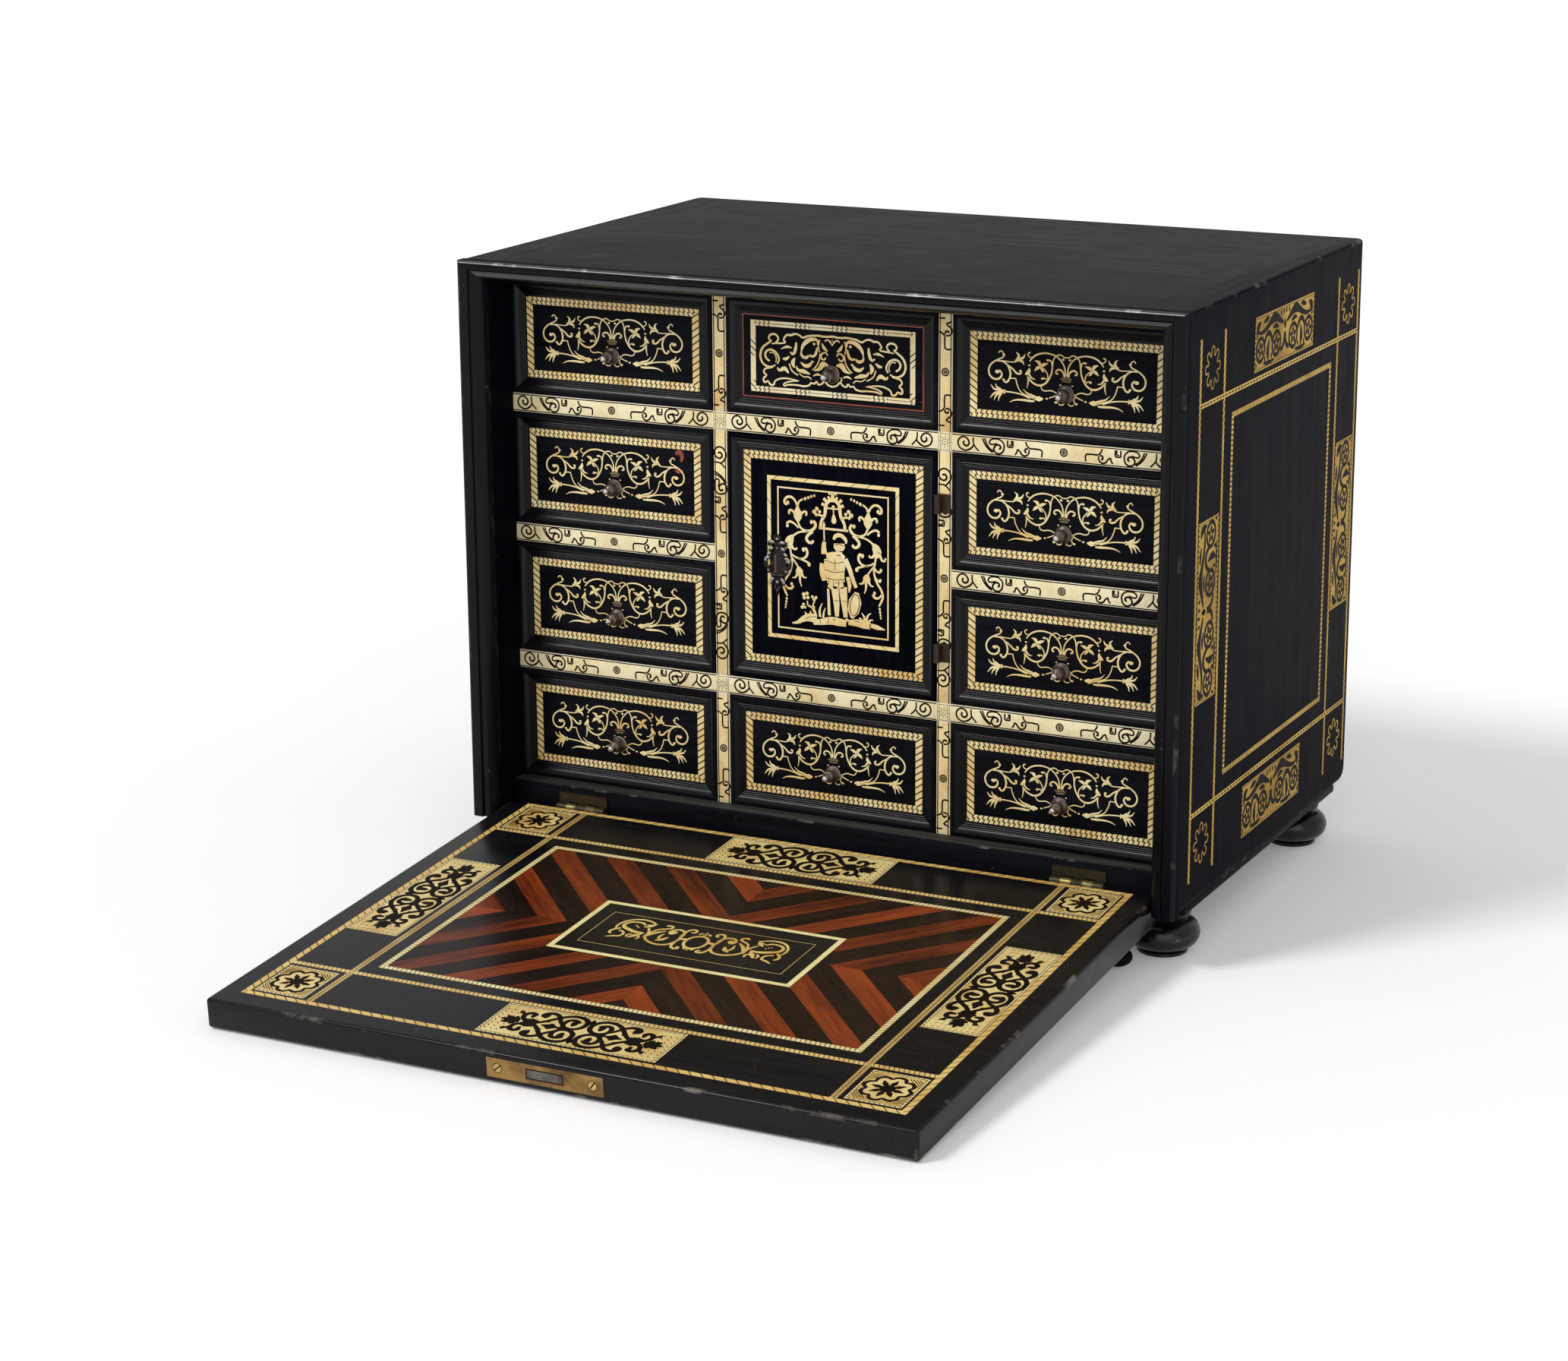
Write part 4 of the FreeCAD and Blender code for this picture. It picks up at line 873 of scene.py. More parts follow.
# %% Drawer borders and arabesques
drawer_half = pen("""
-2.4 2.4 .5, 2.4 2.4
-3.7 1.2 .55, 3.7 1.2
-2.7 -.3 .5, 2.7 -.3
1.2 2.7 .7, 2.3 5.5 .75, 4.2 6.9, 6.3 6.3 .7, 6.8 4.7 .6, 5.4 4.2 .8
.5 3.2 .6, .8 6, 1.5 9.2 .55, 3.6 12.5, 6.5 15 .6, 10.8 16.4 .65, 15 16.5 .7, 19.4 15.2 .75, 22.3 13 .7,
24 10.7 .5
22.4 13.1 .4, 24.6 13.8 .45, 25 15.6 .55, 23.6 16.3 .6
0 14.8 .5, 1.6 14.9 .45, 3.8 16.2 .5, 6.8 15.3, 8.4 13 .55, 9.1 9 .65, 9.7 4.5 .7, 11.3 .6 .75,
13.7 -2.4 .8, 17 -3.9 .85, 20.5 -3.3 .8, 23.5 -1.2 .75, 25.4 1.2 .6
2.2 13.4 .9
24.2 8.2 .8
24.2 6.6 .4, 24.4 4.6 1.5, 25.6 3 1.6, 26.9 2.2 .4
24.4 2.6 .9, 22.6 .3 .7, 20.2 -.4 .3
25 1 .6, 24.9 -2.5, 25.6 -6.4 .25
12.1 .6 .55, 12.2 3.2 .5, 13.6 5.6, 15.4 7.2 .6
9.3 8.6 .5, 10 11.6 .6, 11.6 12.6
12.2 12.3 .95
12.3 -.6 .45, 13.7 .7 .5, 15.2 .8
15.5 .5 1
41 13.7 .95
41.2 14.4 .5, 43 15.9, 44.4 14.6
40.6 13.4 .5, 41.6 12 .6, 44.2 10.6 .65, 47.8 8.5 .7, 50.3 5.6 .75, 50.8 2, 49 -1.2 .8, 46 -2.2 .85,
43.2 -1 .9, 42.3 1.8 .8, 44 3.7 .7
45.2 2.6 1.55
46.4 9.4 .5, 41.4 9.2 .7, 38.4 7 .8, 36.9 4 .85, 36.6 1.2, 37.4 -1.7, 39.4 -3.6 .9, 41.2 -2.6 .6
41 -2.1 .9
42 9.8 .45, 37.1 9.4, 33 9.9 .5, 31.6 11.4
39.2 7.8 .5, 35 5 .7, 32 2.4 .9, 29.8 2.7 .8, 29.4 4 .5
30 4.2 .9
36.8 -.9 .45, 32.9 -.8 .5
33 -.8 .5, 32.2 -4.2, 29.3 -9.2, 24.2 -11.5 .6, 20 -12.4 .8
21 -12.2 1, 17.6 -12.4 2.3, 15 -12.3 .6
20.6 -14.2 .7, 24 -14.2 1, 28.5 -14 .9, 33.5 -14.5 .6, 36.8 -16 .2
19.6 -11.2 .5, 22.6 -10.5 .9, 25.4 -9.6 .7, 28 -7.1 .2
23.5 -12.6 .6, 29.2 -10.6, 35.6 -9.7 .55, 41 -9.6 .7
2.1 -3.4 .35, 4 -6.8 .5, 6.6 -9.4, 11 -11.4 .45
12.6 -11.9 .8
5.6 -8.4 .4, 9.2 -6.7 .5, 15.4 -6.7, 16.5 -4.3 .4
3.9 -2.7 .6
6.2 -9.2 .4, 5 -11.6 .55, 5.8 -13.6 .6
6.6 -13.8 1
0 -12.6 .7
1.2 -14.2 .5, 3 -15.2, 5 -14.6
""")
round_leaf = pen("""
16.8 8 1, 18 10.4 1.5, 20.5 11.4 .3
16.8 8 1, 19 6.8 1.5, 20.8 5 .3
16.8 8 1, 14.6 9.4 1.4, 12 10.3 .3
16.8 8 .9, 15.8 5.8 1, 14.4 4.6 .3
""")
upper_flower = pen("""
33.6 10.4 .6, 31.6 11.2 1.6, 29.8 11.6 1
31.8 11.8 1.1, 31.2 13.8 1, 32.8 15.8 .3
30.4 11.8 1.1, 28.4 12.6 1, 27 15 .25
30.6 10.8 1.1, 28.6 10 1, 27.8 8.2 .3
""")
long_lily = pen("""
40.4 -8.2 .6, 40.4 -11
40.8 -9.6 1.1, 43 -9.6 2.3, 45 -9.6 1.2
43.5 -8.8 1, 47.2 -8.4 .85, 49.4 -5.9 .3
43 -8.2 .9, 45.5 -7 .75, 46.3 -5 .25
44 -10.2 1, 47.2 -11.4 .9, 49.8 -14.4 .3
43.4 -10.8 1, 45.7 -12.4 .85, 47.2 -15.4 .3
42.4 -11 .9, 43.8 -13.2 .75, 44.3 -16 .25
""")
drawer_drawing = both(drawer_half + round_leaf + upper_flower + long_lily)

BORDER_WIDTH, HAIR_GAP = 5.0 * MM, 0.15 * MM
DRAWN_FOR = 57.4
for name in drawers:
    if name == "middle_drawer_1":
        continue
    place, half = field_place(name + "_front")
    across = half.x - REED
    bm = workbench()
    placed(bm, place, inlaid_frame, across - HAIR_GAP, half.z - REED - HAIR_GAP, BORDER_WIDTH)
    finished(name + "_border", bm, name, "bone", border_finish)
    bm = workbench()
    inlaid_strokes(bm, stretched(drawer_drawing, (across / MM - 6) / DRAWN_FOR, 0.98, 0.72), place)
    finished(name + "_arabesque", bm, name, "bone", bone_scroll)

bare_patches = pen("""
45.4 18.4 1, 48.2 19.8 1.7, 50 17.4 1.5, 49.4 13.4 .5
45 7.6 .8, 47.6 7.2 1.5, 50.4 7.8 .8
""")
bm = workbench()
inlaid_strokes(bm, bare_patches, field_place("left_drawer_2_front")[0], 0.06, 0.05)
finished("left_drawer_2_bare_patches", bm, "left_drawer_2", "drawer_wood", red_line)

# %% [markdown]
# ## The top middle drawer
# This one reverses the others: the black scroll is the figure and the bone lines draw round it. Its
# border is smaller and stands inside a thin red line.

# %% Reversed drawer
reversed_half = pen("""
0 16 .75, 5 15.5 .7, 10 15.8 .75, 17 15, 21 13.9 .7, 22.6 15 .6, 25.6 15.8 .7, 29 14.8 .8, 31.4 14.8 .7,
33.2 13.2, 34 11.2 .6, 32.8 10.2 .5, 35 9.3 .6, 39 9 .65, 42.6 8.4 .4
39.6 9.4 .6, 37.8 11.8 .65, 39 14 .7, 41.6 14.6 .75, 44 13.4 .7, 44.3 11.2 .6, 42.4 10.3
42.6 10.2 .6, 45.4 8.4 .75, 48.6 5.8 .85, 50.4 2, 49.8 -3 .8, 46.6 -5.9 .75, 42.4 -6.2 .6, 40 -5 .5
41.6 -6.6 .5, 44.6 -7.2 .6, 47.6 -8.3 .65, 48 -10.6 .6, 46.4 -12, 48.3 -14 .7, 47.8 -16.6, 45.4 -15.8 .6,
43.8 -17.6 .7, 41.4 -17.8, 40.4 -15.6 .6, 38.4 -14.2, 34.4 -13.1, 29 -13.2 .5, 23.4 -14 .3
23.4 -14 .3, 29 -14.7 .5, 33 -16, 34.3 -17.5, 31 -17 .6, 25 -16.7, 19 -17 .65, 16 -16, 14.8 -14.6 .6,
12.5 -14.9, 11 -13.5, 9.8 -15.2, 7.4 -14.6, 5.4 -13 .7, 3 -15 .65, 0 -15.9 .7
44 -2.8 .7, 46.4 -1 .8, 47 2, 44.8 4.3 .75, 41.4 4.2, 38.6 1.9 .7, 37.4 -1.4 .65, 38.6 -4.2 .5
39.6 -3.4 .35, 39.4 0 .4, 41.6 2.8, 44 2.6
10 10 .5, 10.6 12.8 .9, 14 13.2 1.3, 18 11.4 1.6, 20.8 8 1.1, 21.6 4.6 .4
12.6 10.4 1
10.6 8.4 .5, 11.2 5 1, 13 2.6 .9, 16 2.8 .7
21.6 5 .5, 21.4 2.6 .9, 18.4 1.3 1.1, 16.4 2.6 .8
14.2 -.8 .4, 15.8 -3.2 1.3, 18.8 -4, 22 -2 .5
13.8 -1 .9
26.2 .4 .6, 27.6 -2.4 1.6, 26.6 -5.8 .6
30 1.2 .5, 32.6 -.6 1.2, 34.6 -.6 .5
30.6 -9.6 .5, 33.4 -6.8 1.6, 37.4 -8 .9, 38.6 -6.4 .4
25.2 10.6 .6, 25.6 6.8 1.2, 27.6 3 1, 29.6 4 .4
28.4 6.8 .4, 31.6 7.2 1, 36 5.6 .25
15.6 -9 .5, 20 -7.6 1.5, 24 -6.8 1, 25.4 -4.6 .4
24 -10.4 .5, 28.4 -7.6, 30.2 -3.4
3.2 6.4 .4, 5.6 8.2 1.2, 7.2 11.2 .4
3.2 3.6 .5, 4.2 5.2 .55, 6.8 4.8 .6, 7.9 2.4, 6 .8, 4.4 2.2
8.4 4.6 .4, 9.6 -1 .5, 12 -4.6, 14 -6.2 .4
2.8 -2.4 .5, 6.4 -2.2 2.1, 8.8 -5 1.4, 12.6 -6.6 .4
0 -5.8 .4, 0 -8.4 1.6
0 -9.2 1.2, 3.8 -10 .4
7.4 -9.6 .35, 10.4 -8.8 .8, 13.4 -10 .35
0 10.2 .4, 1.4 12.4 .6, 3.4 13.6 .5, 5.2 12.6
0 14.4 .5, 0 11.4 .9
8.6 13.4 .5, 9.6 9, 8.8 5.4 .45
5.4 -12.6 .5, 6.6 -11, 5.8 -9.6 .4
23.2 -9.2 .35, 20 -11 .4, 16.4 -11 .45, 14.6 -12.4 .5
""")
place, half = field_place("middle_drawer_1_front")
bm = workbench()
placed(bm, place, inlaid_frame, 57.4 * MM, 22.9 * MM, 3.7 * MM)
finished("middle_drawer_1_border", bm, "middle_drawer_1", "bone", border_grouped)
bm = workbench()
placed(bm, place, inlaid_frame, half.x - REED - 0.2 * MM, half.z - REED - 0.2 * MM, 0.8 * MM, 0, False)
finished("middle_drawer_1_red_line", bm, "middle_drawer_1", "drawer_wood", red_line)
bm = workbench()
inlaid_strokes(bm, stretched(both(reversed_half), 1, 1, 0.9), place)
finished("middle_drawer_1_arabesque", bm, "middle_drawer_1", "bone", bone_scroll)

# %% [markdown]
# ## Bone strips between the drawers
# Rails and uprights are faced with flat bone, the uprights more amber. A fine line runs along both
# edges of each strip, and between the lines is strapwork about a small ring: a bracket, a curl, a short
# square, a broad scroll and an end scroll. Where an upright crosses a rail there is a little square
# with an eight-petalled flower between double lines.

# %% Bone strips
GAP, HAIR, STRAP_LENGTH = 0.5 * MM, 0.2 * MM, 148 * MM
(_, strip_y, bottom), (_, strip_back, ceiling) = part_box("bone_facings")
columns = {side: (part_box(f"{side}_drawer_4_front")[0].x - GAP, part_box(f"{side}_drawer_4_front")[1].x + GAP)
           for side in ("left", "middle", "right")}
rails = [(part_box(f"left_drawer_{row + 1}_front")[1].z + GAP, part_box(f"left_drawer_{row}_front")[0].z - GAP)
         for row in (3, 2, 1)]
uprights = [(columns["left"][1], columns["middle"][0]), (columns["middle"][1], columns["right"][0])]

strap_half = pen("""
14.4 -4.2 .36, 14.6 0, 16 .4, 22.3 .5
22.3 .5 .36, 24 2, 25 4.4
22.8 -.2 .36, 22.8 -2, 24.3 -4, 27 -4 .4, 29 -1.6 .36, 30.4 -.6
23.4 .2 .36, 25 0 .4, 25.4 -1.5 .45, 24.4 -2.4 .4
30.4 -.6 .36, 30.8 -2.4, 32 -4.2
33.5 4.4 .36, 33.5 .3
33.5 .3 .36, 37 .3
37 .3 .36, 37 4.4
34.6 4.4 .3, 34.6 1.6, 36 1.6
42 4.4 .36, 39.6 2, 39.4 -1 .38, 40.8 -3.8 .4, 43.8 -4.4, 46 -2.6, 45.2 .2 .42, 42.8 1, 41.6 -.6 .45,
42.6 -1.8 .4
42 4.4 .36, 46 4.6, 48.6 3.4, 48.8 1.4, 46.8 1, 44 1.8
52.3 4.4 .34, 50.4 .2, 47.7 -2.5, 45.4 -3.3
53.8 4.4 .34, 51.4 -.2, 48.5 -3, 46.6 -4.2
60 4.4 .34, 59.6 .2, 56.2 -4
59.6 -.6 .36, 62.3 -3.4, 67 -3.8 .38, 70 -.5, 69.2 2.8, 66.2 4.3, 63.5 2.8 .4, 62.7 .3 .42, 64.6 -1.3 .45,
66.5 .3 .42, 65.8 1.8 .36
60 -1.6 .34, 64 -4.2
""")
strap_middle = ring(0, 0, 2.2, 2.2, 0.3) + ring(0, 0, 1.1, 1.1, 0.22) + [dot(0, 0, 0.5)]


def strapwork(length, half_width):
    reach, line = length / 2 / MM, half_width / MM - 1.0
    edge_lines = [[(-reach, y, 0.24), (reach, y, 0.24)] for y in (-line, line)]
    return both([s for s in strap_half if max(x for x, _, _ in s) < reach - 2]) + strap_middle + edge_lines


def crossing(half_across, half_up):
    a, u = half_across / MM, half_up / MM
    bars = [[(x, -u, 0.22), (x, u, 0.22)] for x in (-a - 0.9, 0.3 - a, a - 0.3, a + 0.9)]
    bars += [[(-a, y, 0.22), (a, y, 0.22)] for y in (1 - u, u - 1)]
    petal = ((1.9, 0, 0.2), (3.1, -0.2, 0.2), (3.8, 0, 0.34))
    petals = [[(reach * math.cos(t + bend), reach * math.sin(t + bend), width)
               for reach, bend, width in petal] for t in map(math.radians, range(0, 360, 45))]
    return bars + petals + ring(0, 0, 1.7, 1.7, 0.24) + [dot(0, 0, 0.5)]


bm, lines = workbench(), workbench()


def bone_bar(x0, x1, z0, z1, finish):
    rounded_board(bm, (x0, strip_y, z0), (x1, strip_back, z1), 0.35 * MM, 2, finish)


def engrave(strokes, x, z, turn=0, weight=1.55):
    flat = lying((x, strip_y, z), (1, 0, 0), (0, 0, 1))
    inlaid_strokes(lines, stretched(moved(strokes, 0, 0, turn), 1, 1, weight), flat, 0.03, 0.2, 4, 0)


for x0, x1 in uprights:
    middle, wide = (x0 + x1) / 2, x1 - x0
    stops = [bottom, *rails[0], *rails[2], ceiling]
    for level in (0, 2):
        z0, z1 = rails[level]
        bone_bar(x0, x1, z0 + HAIR, z1 - HAIR, 0)
        flower_square = crossing(wide / 2 - 1.6 * MM, (z1 - z0) / 2 - HAIR)
        engrave(flower_square, middle, (z0 + z1) / 2, weight=0.6)
    for z0, z1 in zip(stops[::2], stops[1::2]):
        bone_bar(x0 + HAIR, x1 - HAIR, z0, z1, 1)
        engrave(strapwork(z1 - z0, wide / 2 - HAIR), middle, (z0 + z1) / 2, 90)
for side, (x0, x1) in columns.items():
    for level, (z0, z1) in enumerate(rails):
        if side == "middle" and level == 1:
            continue
        bone_bar(x0 + 0.1 * MM, x1 - 0.1 * MM, z0 + HAIR, z1 - HAIR, 0)
        strokes = stretched(strapwork(STRAP_LENGTH, (z1 - z0) / 2), (x1 - x0) / STRAP_LENGTH)
        engrave(strokes, (x0 + x1) / 2, (z0 + z1) / 2)
finished("bone_strips", bm, "case", "bone", bone_strip, bone_upright, stands_for=("bone_facings",))
finished("strip_engraving", lines, "case", "dark_bronze", ink)

# %% [markdown]
# ## The cupboard door
# The door has three frames: the engraved border, a streaked bone band and a hair line. Inside, two
# matching plants of tulips and curls climb beside an open arch with a hanging lamp, and under the arch
# stands a small plumed guard with a staff and an oval shield, drawn here as a plain generic figure on
# a strip of rough ground.

# %% Door inlay
plant = pen("""
25 35 .6, 26.8 38.4, 30 40.4 .65, 33.4 39 .7, 34 36, 32.2 35.2
31.8 36.4 1.1
25 35 .6, 23.6 38 .5, 21 39.8
19.4 40.1 .95
17.2 41 .85
15.1 41.9 .8
13 42.6 .75
24.9 35.4 .5, 24.9 33.4 1.1, 24.8 30.4 2.5, 24.7 27.4 2.3, 24.7 24.4 .6
26.4 28.6 .6, 28 31 .65, 30.4 31.6, 31.2 30 .6
30.9 29.8 .8
23 28.6 .6, 21.2 31 .65, 19 31.6, 18.4 30 .6
18.8 29.8 .8
24.7 24.6 .5, 22.4 20.6 .55, 17 19.3 .7, 13.2 21.4 .8, 12.2 24.2, 13.6 26.4 .7
15 25.3 1.1
24.2 20.6 .45, 27.4 23.2 .55, 30.6 24.2 .65, 32.8 22.8 .6
32.2 21.4 1
14 19 .6, 17.6 16.4 .8, 18.6 14, 16.8 11.9, 14.4 11.8 .7
14.2 12.6 .9
16.8 19 .55, 20.6 18.6 .5, 24.4 17.6, 28.4 15 .6
28.4 15.2 .8, 30 13 2.1, 31.2 10.2 2.5, 30.4 6.4 .9
32.4 10.6 .9, 33.6 7 .75, 35.4 4.8 .6, 37 5.6
37 6.4 .7
29.4 8.8 .8, 27.8 6.6 .6, 26 6.4 .5
25.8 7 .7
30.2 6.4 .5, 29.7 2.9 .55, 29 -1, 29.4 -5.4, 31 -9.7 .6, 34.2 -14.6 .65, 35.1 -18.8, 34 -22 .6,
32.5 -24.8 .5
33 -26.6 .8
33.3 -28.7 .8
33.6 -30.7 .7
33.8 -32.5 .6
29.6 3 .5, 26 1.2, 22 .6 .55, 18.8 2.6 .65, 18.2 6 .75, 19.6 8.2 .7
20.8 6.8 1.2
25 1 .45, 20.4 -.4 .5, 17.4 -1.4 .6
16.9 -2.6 1.2
29.2 1 .4, 26.8 -2 .45, 24.6 -5 .5
24.4 -5 .9, 23.9 -7.6 2.2, 23.4 -10.4 1.6
22.4 -9 .8, 20.4 -11.4 .5, 18.6 -11.4 .3
25.2 -9.4 .8, 26.8 -12 .5, 28.8 -12.4 .3
23.4 -10.4 .8, 23.3 -14.4 .5, 22.2 -17.6 .25
29.2 0 .4, 31.2 -2.4 .5, 33.6 -2.8 .6
33.8 -1.4 1
29.8 -6 .4, 31.6 -8.2 .5, 33.8 -9 .55
33.4 -7.8 .85
34.8 -16.4 .4, 32 -19.6 .6, 29.4 -19.4 .7, 28.2 -17.4
29.4 -16.6 .95
""")
arch = pen("""
0 45 .7, 0 41.8 1.5
-3 44.8 .55, 3 44.8
-9.8 22 .75, 10.8 22
-4.9 35.4 .5, 4.9 35.4
-8.6 22 1.1, -8.2 26 .95, -5.6 31 1.05, -5 35.6 1.2, -3.8 39.2, 0 41 1.3, 3.8 39.2 1.2, 5 35.6,
5.6 31 1.05, 8.2 26 .95, 8.6 22 1.1
.4 36.6 1.1
.5 35.4 .4, .6 31.6
.6 31.8 .6, .8 29 1.5, .8 27 1.8, .8 25.6 .5
""") + both(pen("""
5.6 37 .9, 7.8 38 1.1
4.6 39.8 .9, 6.4 41.6 1.1
2.4 41.4 .8, 3.2 43.2
11.2 34.4 1.3
9.2 32.6 1.1
13 32.2 1.5
11.6 30.4 1.1
6 29.4 .7, 8 30.2, 10.6 30.6
"""))
guard = pen("""
-6.2 22.6 .45, -6 14 .5
-3.4 -17 .8, -3 -25 .9, -2.6 -34.4 1.1
-6.2 21 .3, -6.2 24.4 1, -6.2 26.4 .2
.6 15.6 .9, 2 17.8 1.3, 4.6 18.7, 7.2 17.8, 9.2 15.6 1.1, 9.4 13.6 .6
4.4 13.2 3.6, 4.6 10.6 4, 4.8 8.4 2.6
4.6 8 2, 4.2 5.2 3
-4.4 3.4 2.6, 0 4 3.4, 5 4, 8 3 2.4
1.4 2 7.4, 1.2 -3, 1.6 -8 6.6, 2.4 -12.6 6.2
-6 5.4 2.2, -6.4 9.6 1.6, -6 13.4 1.3
8.4 3.4 2, 11.6 -2.4 1.6, 13.8 -8.4 1.4, 16.4 -14.4 1.2
-6.6 -1 2.6, -7.4 -6.4 2, -6 -12 1.6
-3 -13.6 2.4, 2 -15.4, 8 -14.2 2.6
10.4 -8 1.2, 11.8 -13.6 1.3, 11.4 -18 .4
1.4 -15 3, 2.2 -21 2.6, 2.6 -27 2, 2.8 -34.6 1.4
7 -15 3, 7.6 -21 2.5, 8.2 -27 2, 9 -34.6 1.4
3 -36 1.2, .2 -37 .9
9 -36 1.2, 11.6 -37 .9
13.4 -34.6 1, 14.4 -30 4, 15.8 -23.4 4.4, 17 -17.4 1.4
""")
ground_strip = pen("""
-29 -42.4 .4, -25 -41.4 1.1, -21 -38.8 1.9, -16.4 -37.4 2.7, -11.6 -38 2.9
-14 -40.2 1.7, -8 -39.4 2, -2 -38 2.6, 4 -38.2, 9.4 -38.6 2.2
11 -37.8 1.6, 16 -37.4 2.3, 22 -37.8 2.8, 26.6 -38.4 2.2
27 -38 1.4, 31 -38.8 1.6, 36.6 -39.8 .4
-18.6 -36.4 1, -20 -34 .3
-15.8 -36 1.1, -16 -33 .3
-9.2 -36.4 .8, -9.4 -31.6 .7, -7.6 -27 .2
-7 -36.6 .8, -6.4 -32.6 .6, -5.4 -29.8 .2
-12 -36 .8, -13.4 -32.6 .9, -15.6 -30.4 .6, -17.8 -29.4 .5, -18.2 -26.6
-14.4 -31.4 .5, -14 -28.4, -13 -26.4
-20.8 -22.6 1.3
-18.4 -21.8 1.2
-20.4 -24.8 1.2
-17.8 -24.4 1.2
-13.4 -25.2 1.2
-14.6 -23.6 1
-12 -23.8 1
-21 -29.2 1
-22 -31.2 1.1
-20 -31 .9
-14 -30.6 1.3
22.4 -36.4 .9, 22 -32.8 .7, 20.2 -30.4 .2
23.6 -36.4 .9, 24.6 -32 .7, 27 -29.8 .2
24.8 -36.8 .8, 26.6 -34.6 .6, 28.6 -34.4 .2
20.8 -36.6 .8, 19.6 -34.4 .6, 18.2 -34 .2
""")
guard_lines = pen("""
-5.6 1.4 .2, 1.4 .2, 8 1.6
-6 -4.6 .2, 1.6 -5.8 .22, 8.2 -4.6 .2
-4.6 -9.8 .2, 2 -10.8 .25, 8.4 -9.8 .2
1.6 3 .18, 1.6 -4.6
-2.6 -11 .18, -3.4 -14.6
.6 -11.4 .18, .4 -16.4 .2
4.2 -11.4 .18, 4.4 -16.8 .22, 4.8 -25 .2
7.2 -11 .18, 8 -15.6
1.4 11.8 .22, 4.6 12.8 .25, 7.8 11.8 .22
1 -24 .2, 4 -24.4
6.6 -24 .2, 9.8 -24.4
-9.4 -36 .25, -9 -41 .2
10.4 -36.4 .25, 10.2 -40.4 .2
26.4 -36.6 .25, 26 -40.2 .2
-20 -38.6 .2, -16 -36.8, -12 -36.6
-3 -36.6 .2, -3.6 -40
15 -36 .2, 19 -36.6
""") + moved(ring(0, 0, 3.1, 7.2, 0.26), 15.5, -25.8, -9)
place, half = field_place("door_panel")
bm = workbench()
placed(bm, place, inlaid_frame, half.x - DOOR_REED_SIDE - HAIR_GAP, half.z - DOOR_REED_END - HAIR_GAP,
       5.2 * MM)
finished("door_border", bm, "door", "bone", border_finish)
scene_place = place @ Matrix.Translation((0, 1.2 * MM, 0))
bm = workbench()
placed(bm, scene_place, inlaid_frame, 46.5 * MM, 53.2 * MM, 2.6 * MM, 1, False)
placed(bm, scene_place, inlaid_frame, 39.3 * MM, 46.5 * MM, 1.0 * MM, 0, False)
inlaid_strokes(bm, stretched(both(plant), 1, 1, 1.22) + arch, scene_place)
inlaid_strokes(bm, guard + ground_strip, scene_place, 0.14)
finished("door_picture", bm, "door", "bone", bone_scroll, rope_door)
bm = workbench()
inlaid_strokes(bm, guard_lines, scene_place @ Matrix.Translation((0, 0, 0.14 * MM)), 0.03, 0.2, 4, 0)
finished("door_engraving", bm, "door", "dark_bronze", ink)

# %% [markdown]
# ## The door's key plate
# A small cast plate of leaves and curls round an upright key slot. The same pen draws it, but the
# strokes are left fat and round, so they read as relief rather than inlay. The slot is a dark plate,
# a painted shade for the hole, with a reddish strip at one side that is a painted lit wall.

# %% Key plate
SLOT_UP = 1.2
leaves = moved(both(pen("""
.4 18.6 .8, 1.8 17.4 1.2, 1.6 15.2 1
1 12.4 .9, 3.2 14 1.4, 5.6 13.2 1.2, 6 11.2 .8
2.2 9.4 1.1, 4.4 9.8 1.4, 5 8.2 1.1, 4 7.2 .8
3.8 6 1, 5.6 6.4 1.4, 6.8 5 1.2, 6 3.6 .8
4.4 3 1.1, 7.4 3.4 1.4, 8.6 .6 1.2, 7.8 -2.6, 5.4 -2.6 1.1
4.2 -4 1, 6.2 -4.8 1.3, 5.6 -6.6 1.1
.2 -7.9 1, 2.6 -7.9 1.2, 4.6 -7.4 .9
1.4 -10 .9, 3.6 -10.6 1.4, 4.6 -12.4 1.3, 3 -13.6 1.1
.6 -14.8 .9, 1.9 -15.6 1.1, 1 -16.8 .8
""")) + pen("""
0 11.6 .9, 0 10.2 1.3, 0 8.8 .8
0 19.2 .6, 0 16.4 1.4, 0 13.6 .8
0 -10 1, 0 -12 1.4, 0 -14 .9
0 -17 1.3, 0 -18.8 1.1, 0 -20.8 .5
"""), 0, SLOT_UP)
low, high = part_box("door_key_plate")
seat = facing(low, high, high.y)
bm = workbench()
disc = bmesh.ops.create_circle(bm, cap_ends=True, segments=40, radius=1)["verts"]
bmesh.ops.scale(bm, vec=(6 * MM, 14.5 * MM, 1), verts=disc)
grown = bmesh.ops.extrude_face_region(bm, geom=list(disc[0].link_faces), use_keep_orig=True)["geom"]
rim = only(BMVert, grown)
bmesh.ops.translate(bm, vec=(0, 0, 0.8 * MM), verts=rim)
bmesh.ops.scale(bm, vec=(0.86, 0.9, 1), verts=rim)
bmesh.ops.transform(bm, matrix=seat, verts=bm.verts)
inlaid_strokes(bm, leaves, seat @ Matrix.Translation((0, 0, 0.9 * MM)), 2, 0.8, 5, 2)
worn = bm.faces.layers.float["worn"]
for face in bm.faces:
    if face.calc_center_median().y < high.y - 1.75 * MM:
        face[worn] = 0.9
# the slot is painted shade on a flat plate, and its left wall is a painted lit strip
slot = seat @ Matrix.Translation((0, SLOT_UP * MM, 0.9 * MM))
placed(bm, slot, inlaid_plate, 2.6 * MM, 6.2 * MM, 1)
wall = slot @ Matrix.Translation((-1.3 * MM, 0, 0))
placed(bm, wall, inlaid_plate, 0.55 * MM, 6 * MM, 2, 0.25 * MM)
finished("door_key_plate_cast", bm, "door", "dark_bronze", cast_bronze, keyhole_painted_shade, keyhole_painted_lit_wall,
         stands_for=("door_key_plate",), crease=60)

